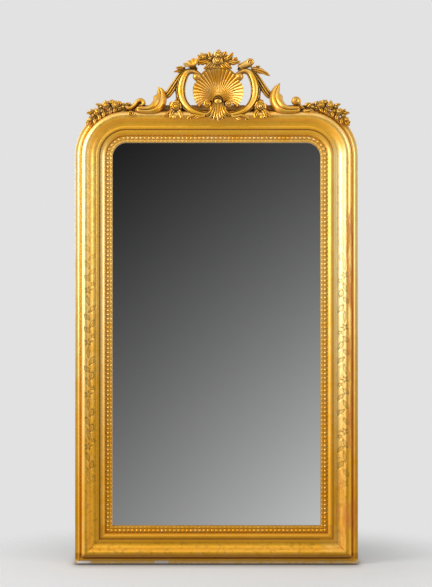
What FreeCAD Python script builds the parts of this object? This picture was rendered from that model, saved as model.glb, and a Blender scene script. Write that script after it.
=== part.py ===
import FreeCAD, Part
import Sketcher
import math
import os
import re

# Gilt overmantel mirror with a pierced, carved crest. X runs along the wall, the front faces -Y,
# Z is up, and the origin is the middle of the bottom edge in the plane of the wall.
# Along the moulding, "in" is the distance from its outer edge towards the glass, and "out" is the
# distance from the wall towards the room.

# Driving sizes, in millimetres
SIZES = {
    # frame as a whole
    "frame_width": 900,
    "frame_height": 1458,
    "corner_radius": 163,
    # moulding profile, widths from the outer edge towards the glass
    "edge_width": 9,
    "torus_width": 10,
    "torus_radius": 5.6,
    "quirk_width": 3,
    "crown_radius": 14,
    "cove_reach": 33,
    "ridge_width": 8,
    "groove_width": 4,
    "ovolo_width": 17,
    "channel_width": 13,
    "sight_width": 7,
    # moulding profile, heights above the carcass
    "edge_rise": 18,
    "crown_rise": 34,
    "cove_rise": 29,
    "ridge_rise": 31,
    "groove_rise": 24,
    "ovolo_rise": 26,
    "ovolo_foot": 14,
    "ovolo_radius": 17,
    "channel_rise": 12,
    "sight_rise": 14,
    # carcass behind the moulding
    "carcass_depth": 28,
    "carcass_inset": 3,
    "glass_rebate": 14,
    "board_rebate": 12,
    "board_thickness": 9,
    "board_setback": 1,
    "board_gap": 1,
    # mirror plate and its blocks
    "glass_thickness": 5,
    "glass_clearance": 3,
    "block_leg": 10,
    "block_length": 40,
    # pearls
    "bead_radius": 4.8,
    "bead_pitch": 13.3,
    "bead_strip_width": 11,
    "bead_strip_thickness": 1.5,
    # crest as a whole
    "crest_shift": 5,
    "crest_reach": 260,
    "crest_rise": 178,
    "crest_depth": 64,
    # upright batten behind the shell
    "upright_width": 64,
    "upright_height": 108,
    "tongue_length": 80,
    "tongue_depth": 12,
    # shell
    "shell_radius": 81,
    "shell_depth": 38,
    "shell_hinge_drop": 40,
    "shell_hinge_height": 8,
    "shell_dish": 18,
    "shell_seat": 12,
    "shell_hub": 20,
    # carved limbs
    "scroll_width": 28,
    "scroll_thickness": 24,
    "volute_radius": 13,
    "acanthus_width": 37,
    "acanthus_thickness": 27,
    "strap_width": 23,
    "strap_thickness": 15,
    "leaf_width": 17,
    "leaf_thickness": 12,
    "bud_width": 25,
    "bud_thickness": 20,
    "knob_radius": 12,
    "palmette_width": 62,
    "palmette_thickness": 24,
    "hood_radius": 19,
    "palmette_curl_radius": 10.5,
    "tendril_width": 9,
    "tendril_thickness": 8,
    "rose_radius": 19,
    "rose_depth": 26,
    "curl_radius": 16.5,
    "curl_stem": 13,
    "curl_eye_radius": 9.5,
    "rosette_radius": 10,
    "flower_bud_radius": 9,
    "garland_stem": 9,
    # hangers
    "hanger_inset": 56,
    "hanger_height": 1190,
    "ring_wire_radius": 2,
    "ring_bow_radius": 15,
    "ring_corner_radius": 4,
    "ring_leg": 10,
    "pivot_clearance": 0.3,
    "knuckle_wall": 2.1,
    "strap_plate_width": 18,
    "strap_plate_length": 62,
    "strap_plate_thickness": 2,
    # nails and screws
    "screw_shank_radius": 2,
    "screw_length": 14,
    "screw_head_radius": 3.6,
    "screw_head_height": 1.4,
    "screw_hole_clearance": 0.2,
    "nail_shank_radius": 1,
    "nail_length": 16,
    "nail_head_radius": 2.6,
    "nail_head_height": 0.8,
}

# Sizes that follow from the driving ones
DERIVED = {
    "crown_middle": "edge_width + torus_width + quirk_width + crown_radius",
    "ridge_start": "crown_middle + cove_reach",
    "groove_start": "ridge_start + ridge_width",
    "ovolo_start": "groove_start + groove_width",
    "channel_start": "ovolo_start + ovolo_width",
    "sight_start": "channel_start + channel_width",
    "moulding_width": "sight_start + sight_width",
    "cove_drop": "crown_rise - cove_rise",
    "cove_radius": "(cove_reach^2 + cove_drop^2 - crown_radius^2)/(2*(crown_radius + cove_drop))",
    "cove_share": "crown_radius/(crown_radius + cove_radius)",
    "side_length": "frame_height - corner_radius",
    "carcass_inner": "moulding_width - glass_rebate",
    "carcass_top": "frame_height - carcass_inset",
    "lap_depth": "carcass_depth/2",
    "rebate_depth": "board_setback + board_thickness",
    "board_in": "carcass_inner - board_rebate + board_gap",
    "board_width": "frame_width - 2*board_in",
    "glass_in": "carcass_inner + glass_clearance",
    "glass_back": "carcass_depth - glass_thickness",
    "strip_in": "channel_start + (channel_width - bead_strip_width)/2",
    "strip_end": "strip_in + bead_strip_width",
    "strip_top": "carcass_depth + channel_rise + bead_strip_thickness",
    "knuckle_radius": "ring_wire_radius + pivot_clearance + knuckle_wall",
    "hinge_height": "frame_height - carcass_inset + shell_hinge_height",
}

# Counts, turns in degrees, and shares
BOARD_COUNT = 6
FLUTE_COUNT = 20
FLUTE_STEP = 10.5
FLUTE_DEPTH_SHARE = 0.36
PAST_RIM_SHARE = 1.15
VALLEY_SHARE = 0.8
FLOWER_TURN = 12
GARLAND_TURN_STEP = 20
SHOULDER_SPREAD_SHARE = 1.2
SPRAY_SPREAD_SHARE = 1.3
SPRAY_ROSE_SHARE = 1.45
RIGHT = 1
LEFT = -1
SIDES = (("left", LEFT), ("right", RIGHT))

doc = FreeCAD.newDocument("gilt_mirror")
os.makedirs("parts", exist_ok=True)
sheet = doc.addObject("Spreadsheet::Sheet", "sizes")
for row, (alias, length) in enumerate(SIZES.items(), start=1):
    sheet.set(f"A{row}", alias)
    sheet.set(f"B{row}", str(length))
    sheet.setAlias(f"B{row}", alias)
doc.recompute()


def bound(text):
    """Writes out the names in an expression as cells of the sheet."""
    def swap(match):
        name = match.group()
        if name in SIZES:
            return "sizes." + name
        if name in DERIVED:
            return "(" + bound(DERIVED[name]) + ")"
        return name
    return re.sub(r"[a-z][a-z_]+", swap, text)


def size(text):
    return float(sheet.evalExpression(bound(text)))


def bind(item, **expressions):
    for name, text in expressions.items():
        item.setExpression(name, bound(text))


def place(item, x, y, z):
    for axis, text in zip("xyz", (x, y, z)):
        item.setExpression("Placement.Base." + axis, bound(text))


PIECES = []


def piece(label, item):
    item.Label = label
    PIECES.append(item)
    return item


# Joiner's work from plain blocks
def block(name, corner, extent):
    box = doc.addObject("Part::Box", name)
    bind(box, Length=extent[0], Width=extent[1], Height=extent[2])
    place(box, *corner)
    return box


def cut_away(name, base, tools):
    tool = tools[0]
    if len(tools) > 1:
        tool = doc.addObject("Part::MultiFuse", name + "_waste")
        tool.Shapes = tools
    cut = doc.addObject("Part::Cut", name)
    cut.Base = base
    cut.Tool = tool
    return cut


def rounded_outline():
    """Plate of the carcass's outline, its two top corners rounded to follow the moulding."""
    plate = block("carcass_plate", ("carcass_inset - frame_width/2", "-carcass_depth", "0"),
                  ("frame_width - 2*carcass_inset", "carcass_depth", "carcass_top"))
    doc.recompute()
    radius = size("corner_radius - carcass_inset")
    corners = []
    for number, edge in enumerate(plate.Shape.Edges, start=1):
        ends = [vertex.Point for vertex in edge.Vertexes]
        along_depth = abs(ends[0].y - ends[1].y) > size("carcass_depth/2")
        if along_depth and ends[0].z > size("carcass_top/2"):
            corners.append((number, radius, radius))
    outline = doc.addObject("Part::Fillet", "carcass_outline")
    outline.Base = plate
    outline.Edges = corners
    return outline


def shaped(name, outline, base, waste):
    cut = cut_away(name + "_cut", base, waste)
    common = doc.addObject("Part::Common", name)
    common.Base = cut
    common.Tool = outline
    return piece(name, common)


outline = rounded_outline()
LAP_FRONT = ("-carcass_depth", "lap_depth")
LAP_BACK = ("-lap_depth", "lap_depth")
REBATE = ("-rebate_depth", "rebate_depth")
for side, sign in SIDES:
    outer = "carcass_inset - frame_width/2" if sign == LEFT else "frame_width/2 - carcass_inner"
    inner = "frame_width/2 - carcass_inner"
    if sign == LEFT:
        inner = "carcass_inner - board_rebate - frame_width/2"
    across = "carcass_inner - carcass_inset"
    stile = block(f"stile_{side}", (outer, "-carcass_depth", "0"), (across, "carcass_depth", "carcass_top"))
    shaped(f"carcass_{side}_stile", outline, stile, [
        block(f"stile_{side}_lap_low", (outer, LAP_FRONT[0], "0"), (across, LAP_FRONT[1], "carcass_inner")),
        block(f"stile_{side}_lap_high", (outer, LAP_FRONT[0], "frame_height - carcass_inner"),
              (across, LAP_FRONT[1], "carcass_inner")),
        block(f"stile_{side}_rebate", (inner, REBATE[0], "carcass_inner - board_rebate"),
              ("board_rebate", REBATE[1], "frame_height - 2*carcass_inner + 2*board_rebate")),
    ])
for level in ("top", "bottom"):
    low = level == "bottom"
    start = "0" if low else "frame_height - carcass_inner"
    height = "carcass_inner" if low else "carcass_inner - carcass_inset"
    groove = "carcass_inner - board_rebate" if low else "frame_height - carcass_inner"
    rail = block(f"rail_{level}", ("carcass_inset - frame_width/2", "-carcass_depth", start),
                 ("frame_width - 2*carcass_inset", "carcass_depth", height))
    waste = [
        block(f"rail_{level}_lap_left", ("carcass_inset - frame_width/2", LAP_BACK[0], start),
              ("carcass_inner - carcass_inset", LAP_BACK[1], height)),
        block(f"rail_{level}_lap_right", ("frame_width/2 - carcass_inner", LAP_BACK[0], start),
              ("carcass_inner - carcass_inset", LAP_BACK[1], height)),
        block(f"rail_{level}_rebate", ("carcass_inner - board_rebate - frame_width/2", REBATE[0], groove),
              ("frame_width - 2*carcass_inner + 2*board_rebate", REBATE[1], "board_rebate")),
    ]
    if not low:
        waste.append(block("upright_housing",
                           ("crest_shift - upright_width/2", "-tongue_depth", "carcass_top - tongue_length"),
                           ("upright_width", "tongue_depth", "tongue_length")))
    shaped(f"carcass_{level}_rail", outline, rail, waste)


# Sketches whose every corner is bound to the sheet
def plane_of(body, role):
    return next(item for item in body.Origin.OriginFeatures if item.Role == role)


def new_body(label, x="0", y="0", z="0", turn=0):
    body = doc.addObject("PartDesign::Body", label)
    body.Placement = FreeCAD.Placement(FreeCAD.Vector(), FreeCAD.Rotation(FreeCAD.Vector(0, 1, 0), turn))
    place(body, x, y, z)
    return body


def new_sketch(body, name, role):
    sketch = body.newObject("Sketcher::SketchObject", name)
    sketch.AttachmentSupport = [(plane_of(body, role), "")]
    sketch.MapMode = "FlatFace"
    return sketch


def arc_centre(start, end, radius, hand):
    middle = (start + end)*0.5
    half = (end - start)*0.5
    rise = math.sqrt(max(radius**2 - half.Length**2, 0))
    across = FreeCAD.Vector(-half.y, half.x, 0)
    across.normalize()
    return middle + across*(rise*hand)


def outline_sketch(body, name, role, corners, closed=True):
    """Each corner gives its two places and, for an arc to the next corner, the radius and the hand."""
    sketch = new_sketch(body, name, role)
    points = [FreeCAD.Vector(size(corner[0]), size(corner[1]), 0) for corner in corners]
    count = len(points) if closed else len(points) - 1
    shapes, ends, rules, names = [], [], [], []
    for index in range(count):
        start, end = points[index], points[(index + 1) % len(points)]
        if len(corners[index]) == 2:
            shapes.append(Part.LineSegment(start, end))
            ends.append((1, 2))
            continue
        radius, hand = size(corners[index][2]), corners[index][3]
        centre = arc_centre(start, end, radius, hand)
        circle = Part.Circle(centre, FreeCAD.Vector(0, 0, 1), radius)
        angles = [math.atan2(point.y - centre.y, point.x - centre.x) for point in (start, end)]
        onward = hand == 1
        first, last = angles if onward else reversed(angles)
        shapes.append(Part.ArcOfCircle(circle, first, last if last > first else last + 2*math.pi))
        ends.append((1, 2) if onward else (2, 1))
    sketch.addGeometry(shapes)
    for index in range(count):
        follower = (index + 1) % count
        if closed or follower:
            meeting = (index, ends[index][1], follower, ends[follower][0])
            rules.append((Sketcher.Constraint("Coincident", *meeting), None))
        for axis, kind, line in ((0, "DistanceX", -2), (1, "DistanceY", -1)):
            text = corners[index][axis]
            if text == "0":
                rules.append((Sketcher.Constraint("PointOnObject", index, ends[index][0], line), None))
            else:
                rules.append((Sketcher.Constraint(kind, index, ends[index][0], size(text)), text))
        if len(corners[index]) == 4:
            text = corners[index][2]
            rules.append((Sketcher.Constraint("Radius", index, size(text)), text))
    if not closed:
        for axis, kind, line in ((0, "DistanceX", -2), (1, "DistanceY", -1)):
            text = corners[-1][axis]
            if text == "0":
                rules.append((Sketcher.Constraint("PointOnObject", count - 1, ends[-1][1], line), None))
            else:
                rules.append((Sketcher.Constraint(kind, count - 1, ends[-1][1], size(text)), text))
    sketch.addConstraint([rule for rule, text in rules])
    for index, (rule, text) in enumerate(rules):
        if text:
            sketch.renameConstraint(index, f"place_{index}")
            names.append((f"place_{index}", text))
    for name, text in names:
        sketch.setExpression("Constraints." + name, bound(text))
    return sketch


def pad(body, sketch, length, both_ways=False):
    feature = body.newObject("PartDesign::Pad", sketch.Name + "_pad")
    feature.Profile = sketch
    bind(feature, Length=length)
    if both_ways:
        feature.SideType = "Symmetric"
    body.Tip = feature
    return feature


def pocket_through(body, sketch):
    feature = body.newObject("PartDesign::Pocket", sketch.Name + "_pocket")
    feature.Profile = sketch
    feature.Type = "ThroughAll"
    feature.SideType = "Symmetric"
    body.Tip = feature
    return feature


def revolve(body, sketch, angle):
    feature = body.newObject("PartDesign::Revolution", sketch.Name + "_turned")
    feature.Profile = sketch
    feature.ReferenceAxis = (sketch, ["V_Axis"])
    feature.Angle = angle
    body.Tip = feature
    return feature


# Moulding profile
def out(rise):
    return f"-carcass_depth - {rise}" if rise else "-carcass_depth"


def moulding_corners(shift):
    wall = "edge_width + torus_width"
    crown_wall = wall + " + quirk_width"
    meet_in = "crown_middle + cove_share*cove_reach"
    meet_out = "crown_rise + cove_share*(cove_radius - cove_drop)"
    profile = [
        ("0", out("")),
        ("0", out("edge_rise")),
        ("edge_width", out("edge_rise"), "torus_radius", 1),
        (wall, out("edge_rise")),
        (crown_wall, out("edge_rise")),
        (crown_wall, out("crown_rise"), "crown_radius", 1),
        (meet_in, out(f"({meet_out})"), "cove_radius", -1),
        ("ridge_start", out("cove_rise")),
        ("ridge_start", out("ridge_rise")),
        ("groove_start", out("ridge_rise")),
        ("groove_start", out("groove_rise")),
        ("ovolo_start", out("groove_rise")),
        ("ovolo_start", out("ovolo_rise"), "ovolo_radius", 1),
        ("channel_start", out("ovolo_foot")),
        ("channel_start", out("channel_rise")),
        ("sight_start", out("channel_rise")),
        ("sight_start", out("sight_rise")),
        ("moulding_width", out("sight_rise")),
        ("moulding_width", out("")),
    ]
    if not shift:
        return profile
    return [(f"{corner[0]} - {shift}",) + corner[1:] for corner in profile]


def mitre(body, name, length, at_end):
    tip = length if at_end else "0"
    heel = f"{length} - moulding_width" if at_end else "moulding_width"
    return pocket_through(body, outline_sketch(body, name, "XZ_Plane", [
        ("0", tip), ("moulding_width", tip), ("moulding_width", heel)]))


def moulding_length(label, base, turn, length, mitres):
    body = new_body(label, *base, turn=turn)
    pad(body, outline_sketch(body, label + "_profile", "XY_Plane", moulding_corners("")), length)
    for at_end in mitres:
        mitre(body, f"{label}_mitre_{int(at_end)}", length, at_end)
    return piece(label, body)


def moulding_corner(label, base, turn):
    body = new_body(label, *base, turn=turn)
    sketch = outline_sketch(body, label + "_profile", "XY_Plane", moulding_corners("corner_radius"))
    revolve(body, sketch, 90)
    return piece(label, body)


# The four lengths and two corners stand round the frame, each turned from the same upright profile
LEFT_FOOT = ("-frame_width/2", "0", "0")
RIGHT_HEAD = ("frame_width/2", "0", "side_length")
TOP_LEFT = ("corner_radius - frame_width/2", "0", "frame_height")
BOTTOM_RIGHT = ("frame_width/2", "0", "0")
CORNER_LEFT = ("corner_radius - frame_width/2", "0", "side_length")
CORNER_RIGHT = ("frame_width/2 - corner_radius", "0", "side_length")
TOP_LENGTH = "frame_width - 2*corner_radius"
moulding_length("moulding_left", LEFT_FOOT, 0, "side_length", (False,))
moulding_length("moulding_right", RIGHT_HEAD, 180, "side_length", (True,))
moulding_top = moulding_length("moulding_top", TOP_LEFT, 90, TOP_LENGTH, ())
moulding_length("moulding_bottom", BOTTOM_RIGHT, -90, "frame_width", (False, True))
corner_left = moulding_corner("moulding_corner_left", CORNER_LEFT, 0)
corner_right = moulding_corner("moulding_corner_right", CORNER_RIGHT, 90)


# Strips of pearls in the channel beside the glass
def strip_corners(shift):
    floor = out("channel_rise")
    return [(f"{inner}{shift}", outer) for inner, outer in (
        ("strip_in", floor), ("strip_in", "-strip_top"), ("strip_end", "-strip_top"), ("strip_end", floor))]


def pearl(body, name, x, z):
    dome = body.newObject("PartDesign::AdditiveSphere", name)
    dome.Angle1 = 0
    dome.Angle2 = 90
    dome.Placement = FreeCAD.Placement(FreeCAD.Vector(), FreeCAD.Rotation(FreeCAD.Vector(1, 0, 0), 90))
    bind(dome, Radius="bead_radius")
    place(dome, x, "-strip_top", z)
    body.Tip = dome
    return dome


def bead_length(label, base, turn, start, end):
    body = new_body(label, *base, turn=turn)
    length = f"({end}) - ({start})"
    sketch = outline_sketch(body, label + "_section", "XY_Plane", strip_corners(""))
    sketch.setExpression("AttachmentOffset.Base.z", bound(start))
    pad(body, sketch, length)
    count = int(size(length)//size("bead_pitch"))
    pitch = f"({length})/{count}"
    dome = pearl(body, label + "_pearl", "(strip_in + strip_end)/2", f"{start} + {pitch}/2")
    doc.recompute()
    row_of = body.newObject("PartDesign::LinearPattern", label + "_row")
    row_of.Originals = [dome]
    row_of.Direction = (plane_of(body, "Z_Axis"), [""])
    row_of.Occurrences = count
    bind(row_of, Length=f"{length} - {pitch}")
    body.Tip = row_of
    return piece(label, body)


def bead_corner(label, base, turn):
    body = new_body(label, *base, turn=turn)
    sketch = outline_sketch(body, label + "_section", "XY_Plane", strip_corners(" - corner_radius"))
    revolve(body, sketch, 90)
    radius = "corner_radius - (strip_in + strip_end)/2"
    count = max(int(size(radius)*math.radians(90)//size("bead_pitch")), 2)
    step = 90/count
    lean, rise = math.cos(math.radians(step/2)), math.sin(math.radians(step/2))
    dome = pearl(body, label + "_pearl", f"-({radius})*{lean}", f"({radius})*{rise}")
    doc.recompute()
    ring_of = body.newObject("PartDesign::PolarPattern", label + "_row")
    ring_of.Originals = [dome]
    ring_of.Axis = (plane_of(body, "Y_Axis"), [""])
    ring_of.Occurrences = count
    ring_of.Angle = 90 - step
    body.Tip = ring_of
    return piece(label, body)


bead_length("beads_left", LEFT_FOOT, 0, "strip_in", "side_length")
bead_length("beads_right", RIGHT_HEAD, 180, "0", "side_length - strip_in")
bead_length("beads_top", TOP_LEFT, 90, "0", TOP_LENGTH)
bead_length("beads_bottom", BOTTOM_RIGHT, -90, "strip_end", "frame_width - strip_end")
bead_corner("beads_corner_left", CORNER_LEFT, 0)
bead_corner("beads_corner_right", CORNER_RIGHT, 90)

# Mirror plate, held in the rebate by blocks and closed behind by boards
plate = block("mirror_plate", ("glass_in - frame_width/2", "-carcass_depth", "glass_in"),
              ("frame_width - 2*glass_in", "glass_thickness", "frame_height - 2*glass_in"))
piece("mirror_plate", plate)


def glass_block(middle, along, inward):
    """Triangular block: one leg along the carcass edge, the other along the back of the plate."""
    back = -size("glass_back")
    leg, half = size("block_leg"), size("block_length/2")
    root = FreeCAD.Vector(middle[0], back, middle[1]) - along*half
    face = Part.Face(Part.makePolygon([root, root + FreeCAD.Vector(0, leg, 0), root + inward*leg, root]))
    return face.extrude(along*half*2)


def glass_blocks():
    side_shares = (0.12, 0.5, 0.88)
    rail_shares = (0.2, 0.8)
    half_wide = size("frame_width/2 - carcass_inner")
    low, high = size("carcass_inner"), size("frame_height - carcass_inner")
    across, upward = FreeCAD.Vector(1, 0, 0), FreeCAD.Vector(0, 0, 1)
    blocks = []
    for share in side_shares:
        level = low + share*(high - low)
        for sign in (LEFT, RIGHT):
            blocks.append(glass_block((sign*half_wide, level), upward, across*-sign))
    for share in rail_shares:
        place_x = half_wide*(2*share - 1)
        blocks.append(glass_block((place_x, low), across, upward))
        blocks.append(glass_block((place_x, high), across, upward*-1))
    return Part.makeCompound(blocks)


def feature(label, shape):
    item = doc.addObject("Part::Feature", label)
    item.Shape = shape
    return piece(label, item)


feature("glass_blocks", glass_blocks())
BOARD_HEIGHT = f"((frame_height - 2*board_in + board_gap)/{BOARD_COUNT} - board_gap)"
for number in range(BOARD_COUNT):
    board = block(f"back_board_{number + 1}",
                  ("-board_width/2", "-rebate_depth", f"board_in + {number}*({BOARD_HEIGHT} + board_gap)"),
                  ("board_width", "board_thickness", BOARD_HEIGHT))
    piece(f"back_board_{number + 1}", board)


def driven(x, z, seat, kind):
    """Nail or screw driven from behind: its head lies on the seat, its shank goes in towards the front."""
    head = Part.makeCylinder(size(kind + "_head_radius"), size(kind + "_head_height"),
                             FreeCAD.Vector(x, seat, z), FreeCAD.Vector(0, 1, 0))
    shank = Part.makeCylinder(size(kind + "_shank_radius"), size(kind + "_length"),
                              FreeCAD.Vector(x, seat, z), FreeCAD.Vector(0, -1, 0))
    return head.fuse(shank)


def board_nails():
    level_shares = (0.25, 0.75)
    pitch = size(f"{BOARD_HEIGHT} + board_gap")
    nails = []
    for number in range(BOARD_COUNT):
        for share in level_shares:
            level = size("board_in") + pitch*number + share*size(BOARD_HEIGHT)
            for sign in (LEFT, RIGHT):
                nails.append(driven(sign*size("board_width/2 - board_rebate/2"), level,
                                    -size("board_setback"), "nail"))
    return Part.makeCompound(nails)


feature("back_board_nails", board_nails())

# Upright batten: its tongue is let into the back of the top rail, its head carries the shell
upright = new_body("crest_upright", "crest_shift", "0", "carcass_top")
pad(upright, outline_sketch(upright, "upright_side", "YZ_Plane", [
    ("0", "-tongue_length"), ("0", "upright_height"), ("-carcass_depth", "upright_height"),
    ("-carcass_depth", "0"), ("-tongue_depth", "0"), ("-tongue_depth", "-tongue_length")]),
    "upright_width", both_ways=True)
piece("crest_upright", upright)


def upright_screws():
    level_shares = (0.25, 0.75)
    spread_share = 0.28
    screws = []
    for share in level_shares:
        for sign in (LEFT, RIGHT):
            screws.append(driven(size("crest_shift") + sign*spread_share*size("upright_width"),
                                 size("carcass_top") - share*size("tongue_length"), 0, "screw"))
    return Part.makeCompound(screws)


feature("crest_screws", upright_screws())


# Carving. A station gives, as shares, its place along the crest, up from the frame and out from the
# carcass, then the width and the thickness of the limb there.
def spot(station, sign):
    along_share, up_share, out_share = station[:3]
    return FreeCAD.Vector(size("crest_shift") + sign*along_share*size("crest_reach"),
                          -size("carcass_depth") - out_share*size("crest_depth"),
                          size("frame_height") + up_share*size("crest_rise"))


def section(middle, heading, width, thickness, lobes):
    """Flat back and a rounded front: one swell, several reeds side by side, or a sharp midrib for none."""
    across = FreeCAD.Vector(heading.z, 0, -heading.x)
    across.normalize()

    def front(share, height_share):
        swell = math.sqrt(max(1 - share**2, 0))
        return middle + across*(share*width/2) + FreeCAD.Vector(0, -thickness*swell*height_share, 0)
    left, right = front(-1, 1), front(1, 1)
    if not lobes:
        edges = [Part.LineSegment(left, front(0, 1)), Part.LineSegment(front(0, 1), right)]
    else:
        valleys = [front(2*number/lobes - 1, VALLEY_SHARE) for number in range(lobes + 1)]
        crests = [front((2*number + 1)/lobes - 1, 1) for number in range(lobes)]
        edges = [Part.Arc(valleys[number], crests[number], valleys[number + 1]) for number in range(lobes)]
    edges.append(Part.LineSegment(right, left))
    return Part.Wire([edge.toShape() for edge in edges])


def limb(places, widths, thicknesses, lobes=1):
    wires = []
    for index, middle in enumerate(places):
        before, after = places[max(index - 1, 0)], places[min(index + 1, len(places) - 1)]
        wires.append(section(middle, after - before, widths[index], thicknesses[index], lobes))
    solid = Part.makeLoft(wires, True, False)
    if solid.Volume < 0:
        solid.reverse()
    return solid


def carved(stations, sign, width, thickness, lobes=1):
    return limb([spot(station, sign) for station in stations],
                [station[3]*size(width) for station in stations],
                [station[4]*size(thickness) for station in stations], lobes)


def leaf(root, tip, sign, width="leaf_width", thickness="leaf_thickness", spread=1):
    """Pointed leaf with a midrib between two stations."""
    run_shares = (0, 0.3, 0.65, 1)
    width_shares = (0.4, 1, 0.8, 0.12)
    rise_shares = (0.7, 1, 0.9, 0.4)
    start, end = spot(root, sign), spot(tip, sign)
    return limb([start + (end - start)*share for share in run_shares],
                [spread*share*size(width) for share in width_shares],
                [share*size(thickness) for share in rise_shares], lobes=0)


def lobed_wire(centre, radius, lobes, turn):
    dent_share = 0.8
    points = []
    for index in range(2*lobes):
        reach = radius if index % 2 else radius*dent_share
        angle = math.radians(turn) + math.pi*index/lobes
        points.append(centre + FreeCAD.Vector(reach*math.sin(angle), 0, reach*math.cos(angle)))
    edges = []
    for index in range(0, 2*lobes, 2):
        edges.append(Part.Arc(points[index], points[index + 1], points[(index + 2) % (2*lobes)]).toShape())
    return Part.Wire(edges)


def rose(station, sign, scale=1, lobes=5, turn=0):
    """Two tiers of petals round a small eye."""
    radius, depth = scale*size("rose_radius"), scale*size("rose_depth")
    centre = spot(station, sign)
    tier_shares = (((0.8, 0), (1, 0.45), (0.75, 0.7)), ((0.62, 0.5), (0.68, 0.75), (0.4, 0.92)))
    tiers = []
    for number, tier in enumerate(tier_shares):
        wires = [lobed_wire(centre + FreeCAD.Vector(0, -depth*rise, 0), radius*reach, lobes,
                            turn + number*180/lobes) for reach, rise in tier]
        tiers.append(Part.makeLoft(wires, True, False))
    eye_share, eye_rise_share = 0.3, 0.85
    tiers.append(Part.makeSphere(eye_share*radius, centre + FreeCAD.Vector(0, -depth*eye_rise_share, 0)))
    return joined(tiers)


def ball(station, sign, radius):
    centre = spot(station, sign)
    sphere = Part.makeSphere(size(radius), centre)
    if sign == LEFT:
        sphere.rotate(centre, FreeCAD.Vector(0, 0, 1), 180)
    return sphere


def joined(shapes):
    return shapes[0].multiFuse(shapes[1:])


def scribed(shape, neighbours):
    """Cuts the piece back to the faces that it lies against and keeps its main solid."""
    for neighbour in neighbours:
        shape = shape.cut(getattr(neighbour, "Shape", neighbour))
    return max(shape.Solids, key=lambda solid: solid.Volume)


# Shell: flutes fan out from the hinge, deepening and rising towards a round rim, over a solid hub
def shell_flute(degrees):
    """One hollow flute as a wedge between two sections, near the hinge and past the rim."""
    turn = math.radians(degrees)
    outward = FreeCAD.Vector(math.sin(turn), 0, math.cos(turn))
    across = FreeCAD.Vector(math.cos(turn), 0, -math.sin(turn))
    forward = FreeCAD.Vector(0, -1, 0)
    reach = PAST_RIM_SHARE*size("shell_radius + shell_hinge_drop")
    wires = []
    for radius in (size("shell_seat"), reach):
        middle = outward*radius
        half = across*(radius*math.tan(math.radians(FLUTE_STEP/2)))
        height = size("shell_depth - shell_dish") + size("shell_dish")*radius/reach
        lip = forward*height
        bottom = forward*(height - 2*half.Length*FLUTE_DEPTH_SHARE)
        wires.append(Part.Wire([
            Part.LineSegment(middle - half, middle - half + lip).toShape(),
            Part.Arc(middle - half + lip, middle + bottom, middle + half + lip).toShape(),
            Part.LineSegment(middle + half + lip, middle + half).toShape(),
            Part.LineSegment(middle + half, middle - half).toShape()]))
    return Part.makeLoft(wires, True, True)


def shell_shape():
    first = -FLUTE_STEP*(FLUTE_COUNT - 1)/2
    fan = joined([shell_flute(first + FLUTE_STEP*number) for number in range(FLUTE_COUNT)])
    hub = Part.makeCylinder(size("shell_hub"), size("shell_depth - shell_dish"), FreeCAD.Vector(),
                            FreeCAD.Vector(0, -1, 0))
    rim = Part.makeCylinder(size("shell_radius"), size("shell_depth"),
                            FreeCAD.Vector(0, 0, size("shell_hinge_drop")), FreeCAD.Vector(0, -1, 0))
    foot = size("frame_height - hinge_height")
    wide = size("2*shell_radius")
    above = Part.makeBox(2*wide, wide, wide, FreeCAD.Vector(-wide, -wide, foot))
    shape = fan.fuse(hub).common(rim).common(above)
    solid = max(shape.Solids, key=lambda item: item.Volume)
    solid.translate(FreeCAD.Vector(size("crest_shift"), -size("carcass_depth"), size("hinge_height")))
    return solid


shell = feature("shell", shell_shape())

PALMETTE_SHARES = (
    (0, 0.14, 0.40, 0.40, 0.6),
    (0, 0.05, 0.48, 0.62, 0.85),
    (0, -0.06, 0.55, 0.66, 0.95),
    (0, -0.16, 0.60, 0.74, 1),
    (0, -0.25, 0.62, 0.90, 0.9),
    (0, -0.31, 0.63, 1, 0.6),
)
HOOD_SHARES = (0, 0.06, 0.56)
PALMETTE_CURL_SHARES = (0.125, 0.0, 0.66)


def palmette_shape():
    fan = carved(PALMETTE_SHARES, RIGHT, "palmette_width", "palmette_thickness", lobes=5)
    parts = [fan, ball(HOOD_SHARES, RIGHT, "hood_radius")]
    parts += [ball(PALMETTE_CURL_SHARES, sign, "palmette_curl_radius") for sign in (LEFT, RIGHT)]
    return joined(parts)


palmette = feature("palmette", scribed(palmette_shape(), [moulding_top, shell]))

C_SCROLL_SHARES = (
    (0.270, 0.560, 0.25, 0.45, 0.70),
    (0.323, 0.605, 0.22, 0.62, 0.80),
    (0.385, 0.573, 0.20, 0.80, 0.90),
    (0.431, 0.449, 0.20, 0.94, 1),
    (0.454, 0.292, 0.22, 1, 1),
    (0.442, 0.124, 0.27, 0.98, 1),
    (0.396, -0.011, 0.36, 0.92, 1),
    (0.323, -0.112, 0.47, 0.80, 0.95),
    (0.231, -0.169, 0.53, 0.60, 0.80),
    (0.150, -0.185, 0.55, 0.30, 0.50),
)
VOLUTE_SHARES = (0.255, 0.505, 0.50)
ACANTHUS_SHARES = {
    RIGHT: (
        (0.985, -0.095, 0.52, 0.56, 0.70),
        (0.865, -0.105, 0.55, 0.74, 0.90),
        (0.770, -0.065, 0.52, 0.94, 1),
        (0.715, 0.045, 0.40, 1, 1),
        (0.700, 0.170, 0.28, 0.88, 0.90),
        (0.715, 0.285, 0.22, 0.58, 0.70),
        (0.757, 0.393, 0.26, 0.10, 0.40),
    ),
    LEFT: (
        (0.985, -0.095, 0.52, 0.56, 0.70),
        (0.865, -0.105, 0.55, 0.74, 0.90),
        (0.770, -0.065, 0.52, 0.96, 1),
        (0.715, 0.045, 0.40, 1, 1),
        (0.700, 0.150, 0.28, 0.90, 0.90),
        (0.705, 0.245, 0.22, 0.62, 0.70),
        (0.730, 0.325, 0.26, 0.16, 0.40),
    ),
}
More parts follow.
